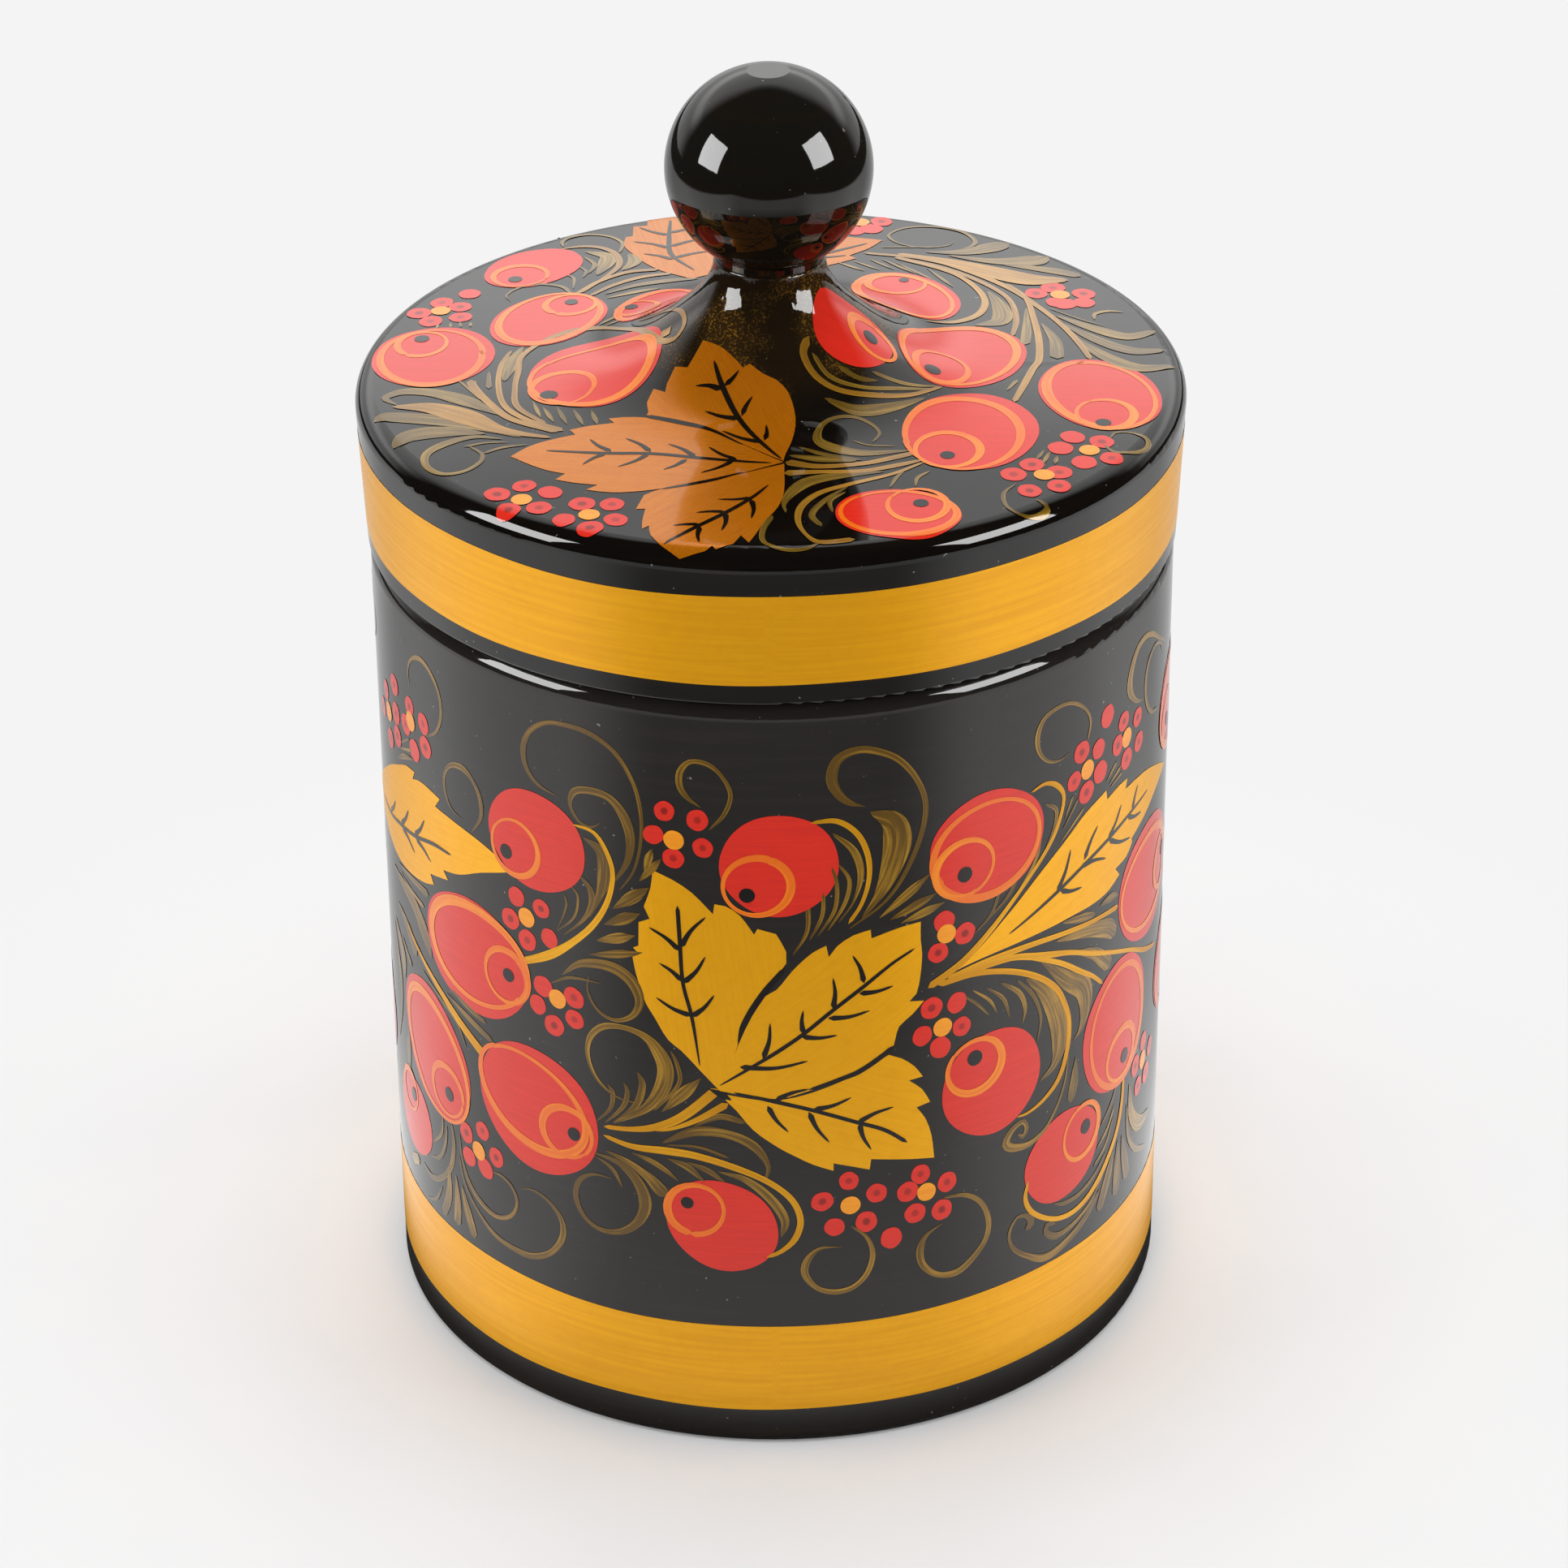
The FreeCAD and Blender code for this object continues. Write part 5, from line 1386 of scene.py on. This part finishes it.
# Painted contact shadow: the floor under the foot's edge is painted dark for reflections.
CONTACT_SHADE_RADIUS = 0.051                 # the floor under the foot's edge stays dark in reflections
CONTACT_SHADE_SOFT = 0.01
# The floor's brightness in the lacquer is painted light and shade, with a painted shade in front of the
# object a hand's width off.
MIRRORED_SIDE = 1.35                   # how bright the floor looks in the lacquer: beside the object,
MIRRORED_NEAR = 0.95                   # in front and close to it,
MIRRORED_AHEAD = 0.32                  # in front and a hand's width off,
MIRRORED_FAR = 0.8                     # in front and further still,
MIRRORED_BACK = 0.7                    # and behind it, where the wall turns away from the camera
NEAR_TO_AHEAD = (0.07, 0.18)
AHEAD_TO_FAR = (0.22, 0.36)
AHEAD_TO_SIDE = (math.radians(28), math.radians(56))    # bearings, from straight ahead
SIDE_TO_BACK = (math.radians(95), math.radians(130))


def area_light(name, place, size, power, glossy):
    light = bpy.data.lights.new(name, "AREA")
    light.shape = "SQUARE"
    light.size = size
    light.energy = power
    lamp = bpy.data.objects.new(name, light)
    lamp.location = place
    aim = Vector((0.0, 0.0, TARGET_HEIGHT)) - lamp.location
    lamp.rotation_mode = "QUATERNION"
    lamp.rotation_quaternion = aim.to_track_quat("-Z", "Y")
    lamp.visible_camera = False
    lamp.visible_glossy = glossy
    lamp.visible_diffuse = not glossy
    bpy.context.scene.collection.objects.link(lamp)


def light_studio():
    for name, direction in SOFTBOXES.items():
        place = Vector(direction).normalized() * SOFTBOX_DISTANCE
        area_light(name, place + Vector((0.0, 0.0, TARGET_HEIGHT)), SOFTBOX_SIZE, SOFTBOX_POWER, True)
    for name, (place, size, power) in FILLS.items():
        area_light(name, place, size, power, False)


def world_glow():
    """White to the camera; to everything else a bright backdrop behind the object and a dim room round it."""
    world = bpy.data.worlds.new("studio")
    world.use_nodes = True
    tree = world.node_tree
    coordinates = tree.nodes.new("ShaderNodeTexCoord")
    _, y, z = split(tree, coordinates.outputs["Generated"])
    backdrop = times(tree, ramp(tree, y, *BEHIND), ramp(tree, z, *BELOW_TOP))
    rising = ramp(tree, z, *BAND_RISE, BACKDROP_FOOT, BACKDROP_BAND)
    falling = ramp(tree, z, *BAND_FALL, BACKDROP_BAND, BACKDROP_GLOW)
    brightness = maths(tree, "MINIMUM", rising, falling)
    glow = maths(tree, "MAXIMUM", times(tree, backdrop, brightness), ROOM_GLOW)
    sight = tree.nodes.new("ShaderNodeLightPath")
    shown = tree.nodes.new("ShaderNodeMix")
    put(shown.inputs["Factor"], sight.outputs["Is Camera Ray"])
    put(shown.inputs[2], glow)
    shown.inputs[3].default_value = FLOOR_WHITE
    put(tree.nodes["Background"].inputs["Color"], shown.outputs[0])
    bpy.context.scene.world = world


def ahead_glow(tree, distance):
    """The painted brightness of the floor in front of the object, as reflections see it, by its distance."""
    near = ramp(tree, distance, *NEAR_TO_AHEAD, MIRRORED_NEAR, MIRRORED_AHEAD)
    beyond = ramp(tree, distance, *AHEAD_TO_FAR, 0.0, MIRRORED_FAR - MIRRORED_AHEAD)
    return maths(tree, "MAXIMUM", near, maths(tree, "ADD", beyond, MIRRORED_AHEAD))


def mirrored_floor(tree, spot, distance):
    """The painted light and shade that reflections see on the floor, by its bearing from the object and its
    distance.
    """
    x, y, _ = split(tree, spot)
    across = maths(tree, "ABSOLUTE", x)
    aside = ramp(tree, across, WHITE_HALF_WIDTH, WHITE_HALF_WIDTH + WHITE_SOFT)
    ahead = ramp(tree, y, -WHITE_FRONT, -WHITE_FRONT - WHITE_SOFT)
    bearing = maths(tree, "ARCTAN2", across, maths(tree, "SUBTRACT", 0.0, y))
    glow = ahead_glow(tree, distance)
    glow = blend(tree, ramp(tree, bearing, *AHEAD_TO_SIDE), glow, grey(MIRRORED_SIDE))
    glow = blend(tree, ramp(tree, bearing, *SIDE_TO_BACK), glow, grey(MIRRORED_BACK))
    glow = blend(tree, maths(tree, "MAXIMUM", aside, ahead), glow, grey(ROOM_GLOW))
    # A painted contact shadow under the foot's edge.
    contact_shade = ramp(tree, distance, CONTACT_SHADE_RADIUS, CONTACT_SHADE_RADIUS + CONTACT_SHADE_SOFT, 1.0, 0.0)
    return blend(tree, contact_shade, glow, grey(ROOM_GLOW))


def mix_shaders(tree, factor, first, second):
    node = tree.nodes.new("ShaderNodeMixShader")
    put(node.inputs[0], factor)
    put(node.inputs[1], first)
    put(node.inputs[2], second)
    return node.outputs[0]


def emission(tree, value):
    node = tree.nodes.new("ShaderNodeEmission")
    put(node.inputs["Color"], value)
    return node.outputs[0]


def floor_material():
    """Pale to the camera and fading into the white backdrop; reflections see a glow of its own, painted with
    light and shade.
    """
    material = bpy.data.materials.new("floor_white")
    material.use_nodes = True
    tree = material.node_tree
    shader = tree.nodes["Principled BSDF"]
    spot = object_spot(tree)
    grain = ramp(tree, noise(tree, spot, FLOOR_PATTERN, 3.0), *FLOOR_EDGE)
    put(shader.inputs["Base Color"], blend(tree, grain, *FLOOR_GREYS))
    shader.inputs["Roughness"].default_value = FLOOR_ROUGHNESS
    shader.inputs["Specular IOR Level"].default_value = FLOOR_SHINE
    length = tree.nodes.new("ShaderNodeVectorMath")
    length.operation = "LENGTH"
    put(length.inputs[0], spot)
    distance = length.outputs["Value"]
    sight = tree.nodes.new("ShaderNodeLightPath")
    fading = times(tree, ramp(tree, distance, *FLOOR_FADE), sight.outputs["Is Camera Ray"])
    seen = mix_shaders(tree, fading, shader.outputs[0], emission(tree, grey(FLOOR_WHITE)))
    room = emission(tree, mirrored_floor(tree, spot, distance))
    both = mix_shaders(tree, sight.outputs["Is Glossy Ray"], seen, room)
    put(tree.nodes["Material Output"].inputs["Surface"], both)
    return material


def stage_floor():
    mesh = bpy.data.meshes.new("floor")
    reach = STAGE_REACH
    corners = [(-reach, -reach, 0.0), (reach, -reach, 0.0), (reach, reach, 0.0), (-reach, reach, 0.0)]
    mesh.from_pydata(corners, [], [(0, 1, 2, 3)])
    mesh.materials.append(floor_material())
    floor = bpy.data.objects.new("floor", mesh)
    bpy.context.scene.collection.objects.link(floor)


CAMERA_PLACE = (0.0, -0.57805, 0.39086)
CAMERA_PITCH = math.radians(29.24)
CAMERA_YAW = math.radians(0.12)
CAMERA_ROLL = -0.0082                  # radians
CAMERA_LENS = 118.6
CAMERA_SENSOR = 36.0


def add_camera():
    forward = Vector((math.sin(CAMERA_YAW) * math.cos(CAMERA_PITCH),
                      math.cos(CAMERA_YAW) * math.cos(CAMERA_PITCH), -math.sin(CAMERA_PITCH)))
    level = Vector((math.cos(CAMERA_YAW), -math.sin(CAMERA_YAW), 0.0))
    right = level * math.cos(CAMERA_ROLL) + level.cross(forward) * math.sin(CAMERA_ROLL)
    up = right.cross(forward)
    data = bpy.data.cameras.new("camera")
    data.lens = CAMERA_LENS
    data.sensor_width = CAMERA_SENSOR
    camera = bpy.data.objects.new("camera", data)
    turned = Matrix((right, up, -forward)).transposed().to_4x4()
    camera.matrix_world = Matrix.Translation(CAMERA_PLACE) @ turned
    bpy.context.scene.collection.objects.link(camera)
    bpy.context.scene.camera = camera


# ---------------------------------------------------------------- putting it together

dress_wood()
paints = jar_paints()
paint_jar(paints)
paint_lid(lid_paints(paints))
light_studio()
world_glow()
stage_floor()
add_camera()
bpy.context.scene.view_settings.view_transform = "Standard"
